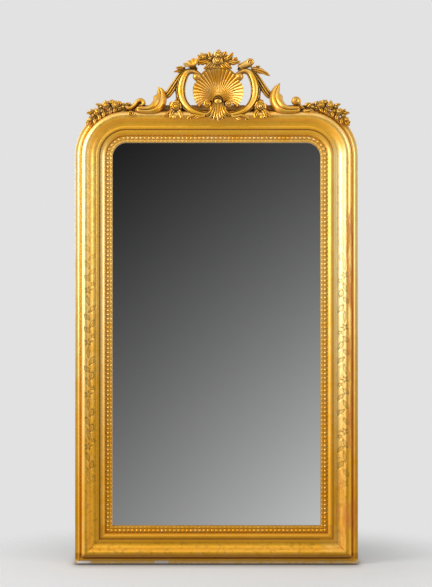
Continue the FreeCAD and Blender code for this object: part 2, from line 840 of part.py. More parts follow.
STRAP_SHARES = (
    (0.672, 0.120, 0.20, 0.60, 0.80),
    (0.608, 0.205, 0.18, 1, 1),
    (0.531, 0.370, 0.16, 1, 1),
    (0.462, 0.520, 0.16, 0.90, 1),
    (0.415, 0.612, 0.18, 0.55, 0.80),
)
SHOULDER_SHARES = {
    RIGHT: ((0.400, 0.640, 0.26), (0.640, 0.515, 0.26)),
    LEFT: ((0.400, 0.630, 0.26), (0.520, 0.665, 0.26)),
}
BUD_SHARES = (
    (0.275, 0.655, 0.30, 0.50, 0.70),
    (0.320, 0.690, 0.28, 1, 1),
    (0.370, 0.735, 0.26, 1.15, 1),
    (0.410, 0.785, 0.26, 0.80, 0.80),
)
BUD_KNOB_SHARES = (0.398, 0.790, 0.42)
ROOT_CURL_SHARES = (0.950, 0.065, 0.45)
CURL_TAIL_SHARES = ((0.960, 0.060, 0.30), (1.060, -0.060, 0.34))
CURL_STEM_SHARES = (
    (0.900, 0.060, 0.36, 0.80, 0.90),
    (0.945, 0.085, 0.36, 1, 1),
    (1.000, 0.050, 0.34, 1, 1),
    (1.055, 0.020, 0.34, 1, 1),
    (1.105, -0.010, 0.36, 0.80, 0.90),
)
CURL_EYE_SHARES = ((0.915, 0.040, 0.44), (1.085, -0.030, 0.44))
ROSETTE_SHARES = (1.065, -0.165, 0.50)
FLOWER_SHARES = (0.512, -0.035, 0.42)
FLOWER_LEAF_SHARES = (
    ((0.500, -0.080, 0.58), (0.455, -0.270, 0.76)),
    ((0.530, -0.080, 0.58), (0.640, -0.215, 0.76)),
    ((0.505, -0.010, 0.34), (0.500, 0.150, 0.24)),
)
FLOWER_BUD_SHARES = (0.545, -0.225, 0.80)
TENDRIL_SHARES = (
    (0.115, -0.190, 0.62, 0.80, 0.80),
    (0.200, -0.235, 0.66, 1, 1),
    (0.290, -0.215, 0.64, 1, 1),
    (0.350, -0.245, 0.66, 0.90, 1),
    (0.375, -0.290, 0.66, 0.60, 0.80),
)



def ball_curl(sign):
    """Tight curl like a ball, with a leaf behind it."""
    return joined([ball(ROOT_CURL_SHARES, sign, "curl_radius"),
                   leaf(CURL_TAIL_SHARES[0], CURL_TAIL_SHARES[1], sign)])


def scroll_curl(sign):
    """Small lying scroll with an eye at each end and a rosette under it."""
    parts = [carved(CURL_STEM_SHARES, sign, "curl_stem", "curl_stem")]
    parts += [ball(station, sign, "curl_eye_radius") for station in CURL_EYE_SHARES]
    parts.append(ball(ROSETTE_SHARES, sign, "rosette_radius"))
    parts.append(leaf(CURL_EYE_SHARES[1], ROSETTE_SHARES, sign))
    return joined(parts)


corners = {"left": corner_left, "right": corner_right}
acanthus, scroll, buds, curls = {}, {}, {}, {}
for side, sign in SIDES:
    scroll_shape = joined([carved(C_SCROLL_SHARES, sign, "scroll_width", "scroll_thickness"),
                           ball(VOLUTE_SHARES, sign, "volute_radius")])
    scroll[side] = feature(f"c_scroll_{side}", scribed(scroll_shape, [moulding_top, shell, palmette]))
    leaf_shape = carved(ACANTHUS_SHARES[sign], sign, "acanthus_width", "acanthus_thickness", lobes=0)
    acanthus[side] = feature(f"acanthus_{side}", scribed(leaf_shape, [moulding_top, corners[side]]))
    strap_shape = carved(STRAP_SHARES, sign, "strap_width", "strap_thickness", lobes=3)
    strap = feature(f"strap_{side}", scribed(strap_shape, [acanthus[side], scroll[side]]))
    bud_shape = joined([carved(BUD_SHARES, sign, "bud_width", "bud_thickness"),
                        ball(BUD_KNOB_SHARES, sign, "knob_radius")])
    buds[side] = feature(f"bud_{side}", scribed(bud_shape, [scroll[side], strap, shell]))
    root, tip = SHOULDER_SHARES[sign]
    shoulder_shape = leaf(root, tip, sign, spread=SHOULDER_SPREAD_SHARE)
    feature(f"shoulder_leaf_{side}", scribed(shoulder_shape, [scroll[side], strap, buds[side]]))
    curl_shape = ball_curl(sign) if sign == RIGHT else scroll_curl(sign)
    curls[side] = feature(f"root_curl_{side}", scribed(curl_shape, [
        moulding_top, corners[side], acanthus[side]]))
    flower_shape = joined([rose(FLOWER_SHARES, sign, turn=FLOWER_TURN)]
                          + [leaf(root, tip, sign) for root, tip in FLOWER_LEAF_SHARES]
                          + [ball(FLOWER_BUD_SHARES, sign, "flower_bud_radius")])
    flower = feature(f"flower_{side}", scribed(flower_shape, [
        moulding_top, acanthus[side], scroll[side], strap]))
    tendril_shape = carved(TENDRIL_SHARES, sign, "tendril_width", "tendril_thickness")
    feature(f"tendril_{side}", scribed(tendril_shape, [moulding_top, scroll[side], palmette, flower]))

# Flower and leaves above the shell
SPRAY_ROSE_SHARES = (0, 0.800, 0.30)
SPRAY_LEAF_SHARES = (
    ((0.000, 0.840, 0.34), (0.000, 1.000, 0.44)),
    ((0.060, 0.820, 0.34), (0.215, 0.930, 0.44)),
    ((0.070, 0.770, 0.36), (0.265, 0.800, 0.44)),
    ((0.080, 0.740, 0.40), (0.200, 0.650, 0.52)),
)


def spray_shape():
    parts = [rose(SPRAY_ROSE_SHARES, RIGHT, scale=SPRAY_ROSE_SHARE, lobes=6)]
    for root, tip in SPRAY_LEAF_SHARES:
        for sign in ((RIGHT,) if root[0] == 0 else (LEFT, RIGHT)):
            parts.append(leaf(root, tip, sign, spread=SPRAY_SPREAD_SHARE))
    return joined(parts)


feature("top_spray", scribed(spray_shape(), [shell, buds["left"], buds["right"]]))

# Garlands over the rounded corners: along and up are shares, and the stem follows the outer edge
GARLAND_STEM_SHARES = (
    (1.020, -0.040, 0.34, 0.70, 0.80),
    (1.110, -0.085, 0.34, 1, 1),
    (1.230, -0.035, 0.32, 1, 1),
    (1.350, -0.055, 0.32, 1, 1),
    (1.470, -0.140, 0.32, 1, 1),
    (1.580, -0.290, 0.32, 0.70, 0.80),
)
GARLAND_ROSE_SHARES = (
    (1.250, -0.020, 0.34, 0.95),
    (1.370, -0.030, 0.34, 0.85),
    (1.475, -0.150, 0.34, 0.80),
    (1.560, -0.265, 0.34, 0.60),
)
GARLAND_LEAF_SHARES = (
    ((1.090, -0.075, 0.36), (1.180, 0.010, 0.44)),
    ((1.120, -0.085, 0.36), (1.230, -0.140, 0.48)),
    ((1.300, -0.030, 0.38), (1.310, 0.080, 0.44)),
    ((1.310, -0.050, 0.38), (1.330, -0.170, 0.50)),
    ((1.420, -0.060, 0.38), (1.490, 0.000, 0.44)),
    ((1.430, -0.100, 0.38), (1.400, -0.230, 0.50)),
    ((1.520, -0.180, 0.38), (1.600, -0.160, 0.44)),
    ((1.540, -0.240, 0.38), (1.500, -0.350, 0.50)),
)


def garland_shape(sign):
    parts = [carved(GARLAND_STEM_SHARES, sign, "garland_stem", "garland_stem")]
    parts += [rose(station, sign, scale=station[3], turn=GARLAND_TURN_STEP*number)
              for number, station in enumerate(GARLAND_ROSE_SHARES)]
    parts += [leaf(root, tip, sign) for root, tip in GARLAND_LEAF_SHARES]
    return joined(parts)


for side, sign in SIDES:
    feature(f"garland_{side}", scribed(garland_shape(sign), [
        moulding_top, corners[side], acanthus[side], curls[side]]))


# Hangers: a strap folded round the bar of a ring, screwed to the back of each stile
def hanger_strap(label, x):
    body = new_body(label, x, "knuckle_radius", "hanger_height")
    pad(body, outline_sketch(body, label + "_plate", "YZ_Plane", [
        ("-knuckle_radius", "0"), ("-knuckle_radius", "-strap_plate_length"),
        ("strap_plate_thickness - knuckle_radius", "-strap_plate_length"),
        ("strap_plate_thickness - knuckle_radius", "0")]), "strap_plate_width", both_ways=True)
    knuckle = new_sketch(body, label + "_knuckle", "YZ_Plane")
    radii = ("knuckle_radius", "ring_wire_radius + pivot_clearance")
    for text in radii:
        knuckle.addGeometry(Part.Circle(FreeCAD.Vector(), FreeCAD.Vector(0, 0, 1), size(text)))
    for index, text in enumerate(radii):
        knuckle.addConstraint(Sketcher.Constraint("Coincident", index, 3, -1, 1))
        number = knuckle.addConstraint(Sketcher.Constraint("Radius", index, size(text)))
        knuckle.renameConstraint(number, f"round_{index}")
        knuckle.setExpression(f"Constraints.round_{index}", bound(text))
    pad(body, knuckle, "strap_plate_width", both_ways=True)
    holes = new_sketch(body, label + "_holes", "XZ_Plane")
    for index, share in enumerate(STRAP_SCREW_SHARES):
        level = f"-{share}*strap_plate_length"
        radius = "screw_shank_radius + screw_hole_clearance"
        middle = FreeCAD.Vector(0, size(level), 0)
        holes.addGeometry(Part.Circle(middle, FreeCAD.Vector(0, 0, 1), size(radius)))
        holes.addConstraint(Sketcher.Constraint("PointOnObject", index, 3, -2))
        for kind, text in (("DistanceY", level), ("Radius", radius)):
            rule = (kind, index, 3, size(text)) if kind == "DistanceY" else (kind, index, size(text))
            number = holes.addConstraint(Sketcher.Constraint(*rule))
            holes.renameConstraint(number, f"{kind.lower()}_{index}")
            holes.setExpression(f"Constraints.{kind.lower()}_{index}", bound(text))
    pocket_through(body, holes)
    return piece(label, body)


def hanger_ring(label, x):
    body = new_body(label, x, "knuckle_radius", "hanger_height")
    bar, corner = "(ring_bow_radius - ring_corner_radius)", "ring_corner_radius"
    foot = "(ring_corner_radius + ring_leg)"
    spine = outline_sketch(body, label + "_spine", "XZ_Plane", [
        ("0", "0"), (bar, "0", corner, -1), ("ring_bow_radius", f"-{corner}"),
        ("ring_bow_radius", f"-{foot}", "ring_bow_radius", -1),
        ("0", f"-{foot} - ring_bow_radius", "ring_bow_radius", -1), ("-ring_bow_radius", f"-{foot}"),
        ("-ring_bow_radius", f"-{corner}", corner, -1), (f"-{bar}", "0"), ("0", "0")], closed=False)
    wire = new_sketch(body, label + "_wire", "YZ_Plane")
    wire.addGeometry(Part.Circle(FreeCAD.Vector(), FreeCAD.Vector(0, 0, 1), size("ring_wire_radius")))
    wire.addConstraint(Sketcher.Constraint("Coincident", 0, 3, -1, 1))
    number = wire.addConstraint(Sketcher.Constraint("Radius", 0, size("ring_wire_radius")))
    wire.renameConstraint(number, "wire_radius")
    wire.setExpression("Constraints.wire_radius", bound("ring_wire_radius"))
    doc.recompute()
    sweep = body.newObject("PartDesign::AdditivePipe", label + "_sweep")
    sweep.Profile = wire
    sweep.Spine = (spine, [f"Edge{index + 1}" for index in range(len(spine.Shape.Edges))])
    body.Tip = sweep
    return piece(label, body)


STRAP_SCREW_SHARES = (0.62, 0.86)
screws = []
for side, sign in SIDES:
    across = f"{sign}*(frame_width/2 - hanger_inset)"
    hanger_strap(f"hanger_strap_{side}", across)
    hanger_ring(f"hanger_ring_{side}", across)
    for share in STRAP_SCREW_SHARES:
        screws.append(driven(size(across), size("hanger_height") - share*size("strap_plate_length"),
                             size("strap_plate_thickness"), "screw"))
feature("hanger_screws", Part.makeCompound(screws))

# Every piece is sound before any of them is written
doc.recompute()
for item in doc.Objects:
    if "Invalid" in item.State or "Error" in item.State:
        raise RuntimeError(f"{item.Label} did not compute")
for item in PIECES:
    if item.Shape.isNull() or not item.Shape.isValid() or not item.Shape.Solids:
        raise RuntimeError(f"{item.Label} is not a sound solid")
for item in PIECES:
    item.Shape.exportStep(f"parts/{item.Label}.step")
    box = item.Shape.BoundBox
    spans = "  ".join(f"{low:7.1f} {high:7.1f}" for low, high in (
        (box.XMin, box.XMax), (box.YMin, box.YMax), (box.ZMin, box.ZMax)))
    print(f"{item.Label:24s} solids {len(item.Shape.Solids):3d}  volume {item.Shape.Volume:12.0f}  {spans}")
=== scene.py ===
import math
from collections import namedtuple

import bmesh
import bpy
import numpy as np
from mathutils import Matrix, Vector
from mathutils.bvhtree import BVHTree


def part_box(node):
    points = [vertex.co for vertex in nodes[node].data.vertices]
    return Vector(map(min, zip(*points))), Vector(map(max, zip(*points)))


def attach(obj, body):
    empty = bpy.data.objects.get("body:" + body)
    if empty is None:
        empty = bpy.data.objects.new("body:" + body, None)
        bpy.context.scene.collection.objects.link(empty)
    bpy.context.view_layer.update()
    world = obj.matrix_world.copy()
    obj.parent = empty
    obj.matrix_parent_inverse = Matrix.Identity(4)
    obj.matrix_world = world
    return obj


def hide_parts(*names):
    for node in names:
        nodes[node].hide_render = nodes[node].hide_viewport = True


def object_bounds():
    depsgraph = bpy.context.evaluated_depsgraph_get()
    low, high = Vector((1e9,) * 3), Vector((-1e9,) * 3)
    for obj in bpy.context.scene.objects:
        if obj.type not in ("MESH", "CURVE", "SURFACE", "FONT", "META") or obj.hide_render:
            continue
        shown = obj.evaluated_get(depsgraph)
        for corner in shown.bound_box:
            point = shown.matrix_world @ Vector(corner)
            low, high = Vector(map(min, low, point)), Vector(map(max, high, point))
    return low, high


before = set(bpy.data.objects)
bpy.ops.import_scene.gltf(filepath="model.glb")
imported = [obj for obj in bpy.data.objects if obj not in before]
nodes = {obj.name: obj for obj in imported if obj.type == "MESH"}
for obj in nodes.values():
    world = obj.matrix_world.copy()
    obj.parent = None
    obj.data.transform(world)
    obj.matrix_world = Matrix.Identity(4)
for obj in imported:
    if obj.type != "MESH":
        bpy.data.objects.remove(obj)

cad_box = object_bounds()

# Sizes read from the frame, in metres. "In" runs from the moulding's outer edge towards the glass,
# "out" from the wall towards the room.
stile_low, stile_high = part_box("moulding_left")
strip_low, strip_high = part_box("beads_left")
shell_low, shell_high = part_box("shell")
HALF_WIDTH = -stile_low.x
SIDE = stile_high.z
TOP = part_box("moulding_top")[1].z
CORNER = TOP - SIDE
TOP_LENGTH = 2*(HALF_WIDTH - CORNER)
MOULDING = stile_high.x - stile_low.x
BACK = -stile_high.y
STRIP_IN, STRIP_END = strip_low.x + HALF_WIDTH, strip_high.x + HALF_WIDTH
STRIP_FLOOR, PEARL_TOP = -strip_high.y, -strip_low.y
CREST_SHIFT = (shell_low.x + shell_high.x)/2
CREST_RISE = cad_box[1].z - TOP
SHELL_DEPTH = -shell_low.y - BACK

# Half width and depth of the crest, which the shares of its carving are counted in
CREST_REACH, CREST_DEPTH = 0.260, 0.064

# Tolerances and steps of the meshes, in metres
MERGE, NEAR = 0.000002, 0.0001
LEVEL = NEAR/5
FINE_STEP, COARSE_STEP, ROW_STEP = 0.0016, 0.0040, 0.0024

LEFT, RIGHT = -1, 1
SIDES = (("left", LEFT), ("right", RIGHT))
FORWARD = np.array([0.0, -1.0, 0.0])
FACE_ROOM = Matrix.Rotation(math.radians(90), 4, "X")
QUARTER = math.pi/2


# Mesh tools
def select_only(piece=None):
    """Deselects everything, and picks one piece where it is given."""
    bpy.ops.object.select_all(action="DESELECT")
    if piece:
        piece.select_set(True)
        bpy.context.view_layer.objects.active = piece


def edit(piece):
    select_only(piece)
    bpy.ops.object.mode_set(mode="EDIT")
    bpy.ops.mesh.select_all(action="SELECT")


def leave_edit():
    bpy.ops.object.mode_set(mode="OBJECT")


def mark(piece, label, amounts):
    """Gives each point of a piece an amount that its material reads."""
    layer = piece.data.attributes.new(label, "FLOAT", "POINT")
    layer.data.foreach_set("value", amounts)


def draped(name, points, marks=None):
    """A grid laid over rows of points; each row closes on itself, and both ends are capped."""
    rows, columns = points.shape[:2]
    select_only()
    bpy.ops.mesh.primitive_grid_add(x_subdivisions=columns - 1, y_subdivisions=rows - 1, size=1,
                                    calc_uvs=False)
    piece = bpy.context.active_object
    piece.name = name
    piece.data.vertices.foreach_set("co", points.reshape(-1))
    for label, amounts in (marks or {}).items():
        mark(piece, label, np.broadcast_to(amounts, (rows, columns)).reshape(-1))
    edit(piece)
    bpy.ops.mesh.remove_doubles(threshold=MERGE)
    bpy.ops.mesh.fill_holes(sides=0)
    bpy.ops.mesh.select_all(action="SELECT")
    bpy.ops.mesh.normals_make_consistent(inside=False)
    if bmesh.from_edit_mesh(piece.data).calc_volume(signed=True) < 0:
        bpy.ops.mesh.flip_normals()
    leave_edit()
    return piece


def sphere(name, radius, segments, rings):
    select_only()
    bpy.ops.mesh.primitive_uv_sphere_add(segments=segments, ring_count=rings, radius=radius, calc_uvs=False)
    piece = bpy.context.active_object
    piece.name = name
    return piece


def flat_backed(piece, depth):
    """Cuts a small piece off behind its middle, so that it can lie on a bed."""
    edit(piece)
    bpy.ops.mesh.bisect(plane_co=(0, depth, 0), plane_no=(0, 1, 0), clear_outer=True, use_fill=True)
    leave_edit()
    return piece


def joined(name, parts):
    select_only()
    for part in parts:
        part.select_set(True)
    bpy.context.view_layer.objects.active = parts[0]
    bpy.ops.object.join()
    parts[0].name = name
    return parts[0]


def smooth(piece, degrees):
    select_only(piece)
    bpy.ops.object.shade_smooth_by_angle(angle=math.radians(degrees))


def stepped(low, high, value):
    """Smooth rise from 0 at low to 1 at high."""
    share = np.clip((value - low)/(high - low), 0, 1)
    return share*share*(3 - 2*share)


def through(stations, count):
    """Even steps along a smooth curve through the stations; every column is carried along."""
    rows = np.array(stations, float)
    padded = np.vstack([2*rows[0] - rows[1], rows, 2*rows[-1] - rows[-2]])
    steps = []
    for place in np.linspace(0, len(rows) - 1, count):
        index = min(int(place), len(rows) - 2)
        part = place - index
        before, start, end, after = padded[index:index + 4]
        steps.append(0.5*(2*start + (end - before)*part + (2*before - 5*start + 4*end - after)*part**2
                          + (3*start - before - 3*end + after)*part**3))
    return np.array(steps)


# Moulding profile. Gesso and handling have rounded its arrises, and soiling and painted shade sit in its
# inner corners.
ARRIS, SHARP_TURN, ARRIS_SHARE = 0.0009, math.radians(24), 0.4
CARVED_BAND = (0.031, 0.068)
# Soiling and painted shade in the inner corners: how far they spread, and where they are kept lighter
DIRT_AND_SHADE_REACH, LEAST_TURN, MOST_TURN = 0.0035, -0.5, 1.6
HOLLOW_EASES, HOLLOW_LIGHTER_SHARE = ((0.062, 0.066), (0.073, 0.076)), 0.75
SIGHT_EASE, SIGHT_LIGHTER_SHARE = (0.096, 0.099), 0.80
PROFILE_DIGITS = 5


def moulding_section():
    """Profile of the moulding as (in, out), read from the square end of the left length."""
    spots = {(round(vertex.co.x - stile_low.x, PROFILE_DIGITS), round(-vertex.co.y, PROFILE_DIGITS))
             for vertex in nodes["moulding_left"].data.vertices if vertex.co.z > SIDE - NEAR}
    ordered = [min(spots)]
    spots.remove(ordered[0])
    while spots:
        edge = min(spots)[0]
        level = [spot for spot in spots if spot[0] - edge < LEVEL]
        nearest = min(level, key=lambda spot: abs(spot[1] - ordered[-1][1]))
        ordered.append(nearest)
        spots.remove(nearest)
    return np.array(ordered)


def eased(points):
    """Rounds the sharp corners of an outline a little."""
    made = [points[0]]
    for index in range(1, len(points) - 1):
        before, here, after = points[index - 1:index + 2]
        arrive, leave = here - before, after - here
        turn = math.atan2(leave[1], leave[0]) - math.atan2(arrive[1], arrive[0])
        if abs(math.remainder(turn, math.tau)) < SHARP_TURN:
            made.append(here)
            continue
        lengths = np.linalg.norm(arrive), np.linalg.norm(leave)
        cut = min(ARRIS, ARRIS_SHARE*min(lengths))
        start, end = here - arrive/lengths[0]*cut, here + leave/lengths[1]*cut
        made += [start, (start + end)/4 + here/2, end]
    return np.array(made + [points[-1]])


def refined(points):
    """Adds points to an outline, closer together over the engraved band."""
    made = [points[0]]
    for start, end in zip(points, points[1:]):
        inside = CARVED_BAND[0] < (start[0] + end[0])/2 < CARVED_BAND[1]
        step = FINE_STEP if inside else COARSE_STEP
        pieces = max(1, math.ceil(np.linalg.norm(end - start)/step))
        made += [start + (end - start)*number/pieces for number in range(1, pieces + 1)]
    return np.array(made)


def section_normals(points):
    lead = np.gradient(points, axis=0)
    normals = np.stack([-lead[:, 1], lead[:, 0]], axis=1)
    return normals/np.linalg.norm(normals, axis=1, keepdims=True)


def section_dirt_and_shade(points):
    """How sheltered each point of the profile is, for soiling and painted shade: 1 in a sharp inner corner, 0
    in the open.
    """
    lead = np.diff(points, axis=0)
    angles = np.arctan2(lead[:, 1], lead[:, 0])
    turns = np.zeros(len(points))
    turns[1:-1] = np.remainder(np.diff(angles) + math.pi, math.tau) - math.pi
    run = np.concatenate([[0], np.cumsum(np.linalg.norm(lead, axis=1))])
    gaps = (run[:, None] - run[None, :])/DIRT_AND_SHADE_REACH
    spread = np.exp(-gaps**2)*np.clip(turns, LEAST_TURN, MOST_TURN)[None, :]
    dirt_and_shade = np.clip(spread.sum(axis=1), 0, MOST_TURN)/MOST_TURN
    inward = points[:, 0]
    dirt_and_shade *= 1 - HOLLOW_LIGHTER_SHARE*stepped(*HOLLOW_EASES[0], inward)*(1 - stepped(*HOLLOW_EASES[1], inward))
    return dirt_and_shade*(1 - SIGHT_LIGHTER_SHARE*stepped(*SIGHT_EASE, inward))


PROFILE = refined(eased(moulding_section()))
PROFILE_NORMALS = section_normals(PROFILE)
PROFILE_DIRT_AND_SHADE = section_dirt_and_shade(PROFILE)

# The vine cut into the gesso: each leaf's place along the period and across the band, then its lean
VINE_PERIOD, ENGRAVED_DEPTH, BAND_SOFT = 0.165, 0.0012, 0.001
CUT_LEAF_SHARES = (
    (0.05, 0.31, -26), (0.21, 0.66, 32), (0.37, 0.31, -18), (0.80, 0.33, -28), (0.92, 0.68, 30),
)
CUT_LEAF_LENGTH, CUT_LEAF_WIDTH, CUT_LEAF_POINT = 0.0190, 0.0072, 1.4
CUT_LINE_SHARE, CUT_LINE_SOFT_SHARE, CUT_BED_SHARE = 0.86, 0.26, 0.30
CUT_RIB_SHARE, CUT_RIB_DEPTH_SHARE = 0.24, 0.8

# Each cut flower's place along the period and across the band, then its scale
CUT_FLOWER_SHARES = ((0.57, 0.36, 1.25), (0.68, 0.74, 0.80))
CUT_PETALS, CUT_PETAL_LEAN, CUT_PETAL_SOFT_SHARE = 5, 10, 1.15
CUT_PETAL_REACH, CUT_PETAL_LENGTH, CUT_PETAL_WIDTH = 0.0062, 0.0054, 0.0036
STEM_WIDTH, STEM_SWAY, STEM_WAVES, STEM_WANDER = 0.0011, 0.0060, 2, 9
STEM_DEPTH_SHARE, STEM_SOFT_SHARE = 0.20, 1.2

# How far the hand strays from one repeat of the vine to the next
WHIM_RATES = (7.3, 2.1)
WHIM_ACROSS_SHARE, WHIM_LEAN = 0.06, 20
WHIM_LENGTH_SHARES, WHIM_WIDTH_SHARES = (0.90, 0.20), (0.95, -0.15)

# The vine is clear from a little above the foot to past the middle of each stile and faint elsewhere
VINE_START, VINE_END = (0.20, 0.32), (0.80, 1.10)
VINE_FAINT_SHARE, VINE_WORN_SHARE = 0.12, 0.75

# Unevenness of the gesso, in metres, with its rates along and across the moulding, and the face it shows on
WAVER, QUICK_SHARE, DRIFT = 0.00005, 0.6, 5
WAVER_RATE, DRIFT_RATE, QUICK_RATE, ACROSS_RATE = 41, 13, 97, 140
FACE_OUT_EASE, FACE_IN_EASE = (BACK + 0.002, BACK + 0.006), (0.002, 0.008)


def leaf_reach(along, across, lean, length, width):
    """How far across and how far out a place lies in a leaning, pointed leaf: 1 is on its edge."""
    turn = np.radians(lean)
    onward = (along*np.cos(turn) + across*np.sin(turn))/length
    aside = np.abs(across*np.cos(turn) - along*np.sin(turn))/width
    return aside, (np.abs(onward)**CUT_LEAF_POINT + aside**CUT_LEAF_POINT)**(1/CUT_LEAF_POINT)


def cut_leaf(aside, reach):
    """A leaf cut as a line round its edge and one down its rib, with a shallower bed between."""
    line = np.clip(1 - np.abs(reach - CUT_LINE_SHARE)/CUT_LINE_SOFT_SHARE, 0, 1)
    rib = CUT_RIB_DEPTH_SHARE*np.clip(1 - aside/CUT_RIB_SHARE, 0, 1)
    return np.maximum(line, np.maximum(rib, CUT_BED_SHARE)*(reach < CUT_LINE_SHARE))


def nearest_repeat(onward, share):
    """Which repeat of the vine a place belongs to, and how far it lies from that repeat's share."""
    repeat = np.floor(onward/VINE_PERIOD - share + 0.5)
    return repeat, onward - (repeat + share)*VINE_PERIOD


def vine(inward, onward):
    """Depth share of the engraved vine at places in from the edge and along the moulding."""
    width = CARVED_BAND[1] - CARVED_BAND[0]
    across = inward - CARVED_BAND[0]
    sway = width/2 + STEM_SWAY*np.sin(math.tau*onward/VINE_PERIOD*STEM_WAVES + np.sin(onward*STEM_WANDER))
    depth = STEM_DEPTH_SHARE*np.clip(STEM_SOFT_SHARE - np.abs(across - sway)/STEM_WIDTH, 0, 1)
    for number, (along_share, across_share, lean) in enumerate(CUT_LEAF_SHARES):
        repeat, along = nearest_repeat(onward, along_share)
        whim = np.sin(repeat*WHIM_RATES[0] + number*WHIM_RATES[1])
        aside, reach = leaf_reach(
            along, across - (across_share + WHIM_ACROSS_SHARE*whim)*width, lean + WHIM_LEAN*whim,
            CUT_LEAF_LENGTH*(WHIM_LENGTH_SHARES[0] + WHIM_LENGTH_SHARES[1]*whim),
            CUT_LEAF_WIDTH*(WHIM_WIDTH_SHARES[0] + WHIM_WIDTH_SHARES[1]*whim))
        depth = np.maximum(depth, cut_leaf(aside, reach))
    for along_share, across_share, scale in CUT_FLOWER_SHARES:
        along = nearest_repeat(onward, along_share)[1]
        middle = across_share*width
        reach = scale*CUT_PETAL_REACH
        for number in range(CUT_PETALS):
            lean = 360/CUT_PETALS*number + CUT_PETAL_LEAN
            turn = math.radians(lean)
            edge = leaf_reach(along - reach*math.cos(turn), across - middle - reach*math.sin(turn),
                              lean, scale*CUT_PETAL_LENGTH, scale*CUT_PETAL_WIDTH)[1]
            depth = np.maximum(depth, np.clip(CUT_PETAL_SOFT_SHARE - edge, 0, 1))
    return depth


def waver(inward, onward):
    """Slow unevenness of hand-scraped gesso."""
    slow = np.sin(onward*WAVER_RATE + DRIFT*np.sin(onward*DRIFT_RATE))
    return WAVER*(slow + QUICK_SHARE*np.sin(onward*QUICK_RATE + inward*ACROSS_RATE))


def upward_fade(onward):
    clear = stepped(*VINE_START, onward)*(1 - VINE_WORN_SHARE*stepped(*VINE_END, onward))
    return VINE_FAINT_SHARE + (1 - VINE_FAINT_SHARE)*clear


def downward_fade(onward):
    return upward_fade(SIDE - onward)


def even(amount):
    return lambda onward: amount + 0*onward


def engraved_rows(starts, ends, rows, strength, phase):
    """Rows of (in, out, onward) over the moulding, with the vine pressed in, and the depth of the vine."""
    share = np.linspace(0, 1, rows)[:, None]
    onward = starts[None, :] + share*(ends - starts)[None, :]
    inward = np.broadcast_to(PROFILE[:, 0], onward.shape)
    inside = stepped(CARVED_BAND[0] - BAND_SOFT, CARVED_BAND[0] + BAND_SOFT, inward)
    inside = inside*(1 - stepped(CARVED_BAND[1] - BAND_SOFT, CARVED_BAND[1], inward))
    cut = vine(inward, onward + phase)*inside*strength(onward)
    open_face = stepped(*FACE_OUT_EASE, PROFILE[:, 1])*stepped(*FACE_IN_EASE, PROFILE[:, 0])
    push = waver(inward, onward + phase)*open_face[None, :] - ENGRAVED_DEPTH*cut
    moved = PROFILE[None, :, :] + PROFILE_NORMALS[None, :, :]*push[:, :, None]
    return moved[:, :, 0], moved[:, :, 1], onward, cut


def closed_rows(array):
    return np.concatenate([array, array[:, :1]], axis=1)


def moulding_run(name, points, inward, cut, place):
    """The skin of a moulding over its points, with the marks that its gilding reads, at its place."""
    marks = {"engraved": cut, "hollow": PROFILE_DIRT_AND_SHADE[None, :], "inward": inward}
    marks = {label: closed_rows(amounts) for label, amounts in marks.items()}
    piece = draped(name, closed_rows(points), marks)
    piece.data.transform(place)
    return piece


def moulding_length(name, length, mitres, place, strength, phase):
    """A straight length of moulding, its own start or end cut to a mitre where asked."""
    starts = PROFILE[:, 0] if mitres[0] else np.zeros(len(PROFILE))
    ends = length - PROFILE[:, 0] if mitres[1] else np.full(len(PROFILE), length)
    inward, outward, onward, cut = engraved_rows(starts, ends, int(length/ROW_STEP), strength, phase)
    return moulding_run(name, np.stack([inward, -outward, onward], axis=2), inward, cut, place)


def moulding_corner(name, place, strength, phase):
    """A quarter turn of moulding about the corner's centre."""
    flat = np.zeros(len(PROFILE))
    length = CORNER*QUARTER
    inward, outward, onward, cut = engraved_rows(flat, flat + length, int(length/ROW_STEP), strength, phase)
    angle = onward/CORNER
    points = np.stack([-(CORNER - inward)*np.cos(angle), -outward, (CORNER - inward)*np.sin(angle)], axis=2)
    return moulding_run(name, points, inward, cut, place)


def turned(degrees, x, z):
    """Stands a piece at its place on the frame, turned in the plane of the wall."""
    return Matrix.Translation((x, 0, z)) @ Matrix.Rotation(math.radians(degrees), 4, "Y")


LEFT_FOOT = turned(0, -HALF_WIDTH, 0)
RIGHT_HEAD = turned(180, HALF_WIDTH, SIDE)
TOP_LEFT = turned(90, CORNER - HALF_WIDTH, TOP)
BOTTOM_RIGHT = turned(-90, HALF_WIDTH, 0)
CORNER_LEFT = turned(0, CORNER - HALF_WIDTH, SIDE)
CORNER_RIGHT = turned(90, HALF_WIDTH - CORNER, SIDE)

# Node, made piece, length, mitred ends and place, then the vine's strength and the place it starts from
MOULDING_LENGTHS = (
    ("moulding_left", "gilt_stile_left", SIDE, (True, False), LEFT_FOOT, upward_fade, 0.05),
    ("moulding_right", "gilt_stile_right", SIDE, (False, True), RIGHT_HEAD, downward_fade, 0.21),
    ("moulding_top", "gilt_top", TOP_LENGTH, (False, False), TOP_LEFT, even(0.12), 0.11),
    ("moulding_bottom", "gilt_bottom", 2*HALF_WIDTH, (True, True), BOTTOM_RIGHT, even(0.10), 0.16),
)
MOULDING_CORNERS = (
    ("moulding_corner_left", "gilt_corner_left", CORNER_LEFT, even(0.15), 0.02),
    ("moulding_corner_right", "gilt_corner_right", CORNER_RIGHT, even(0.15), 0.27),
)
mouldings = {node: moulding_length(*row) for node, *row in MOULDING_LENGTHS}
mouldings.update({node: moulding_corner(*row) for node, *row in MOULDING_CORNERS})

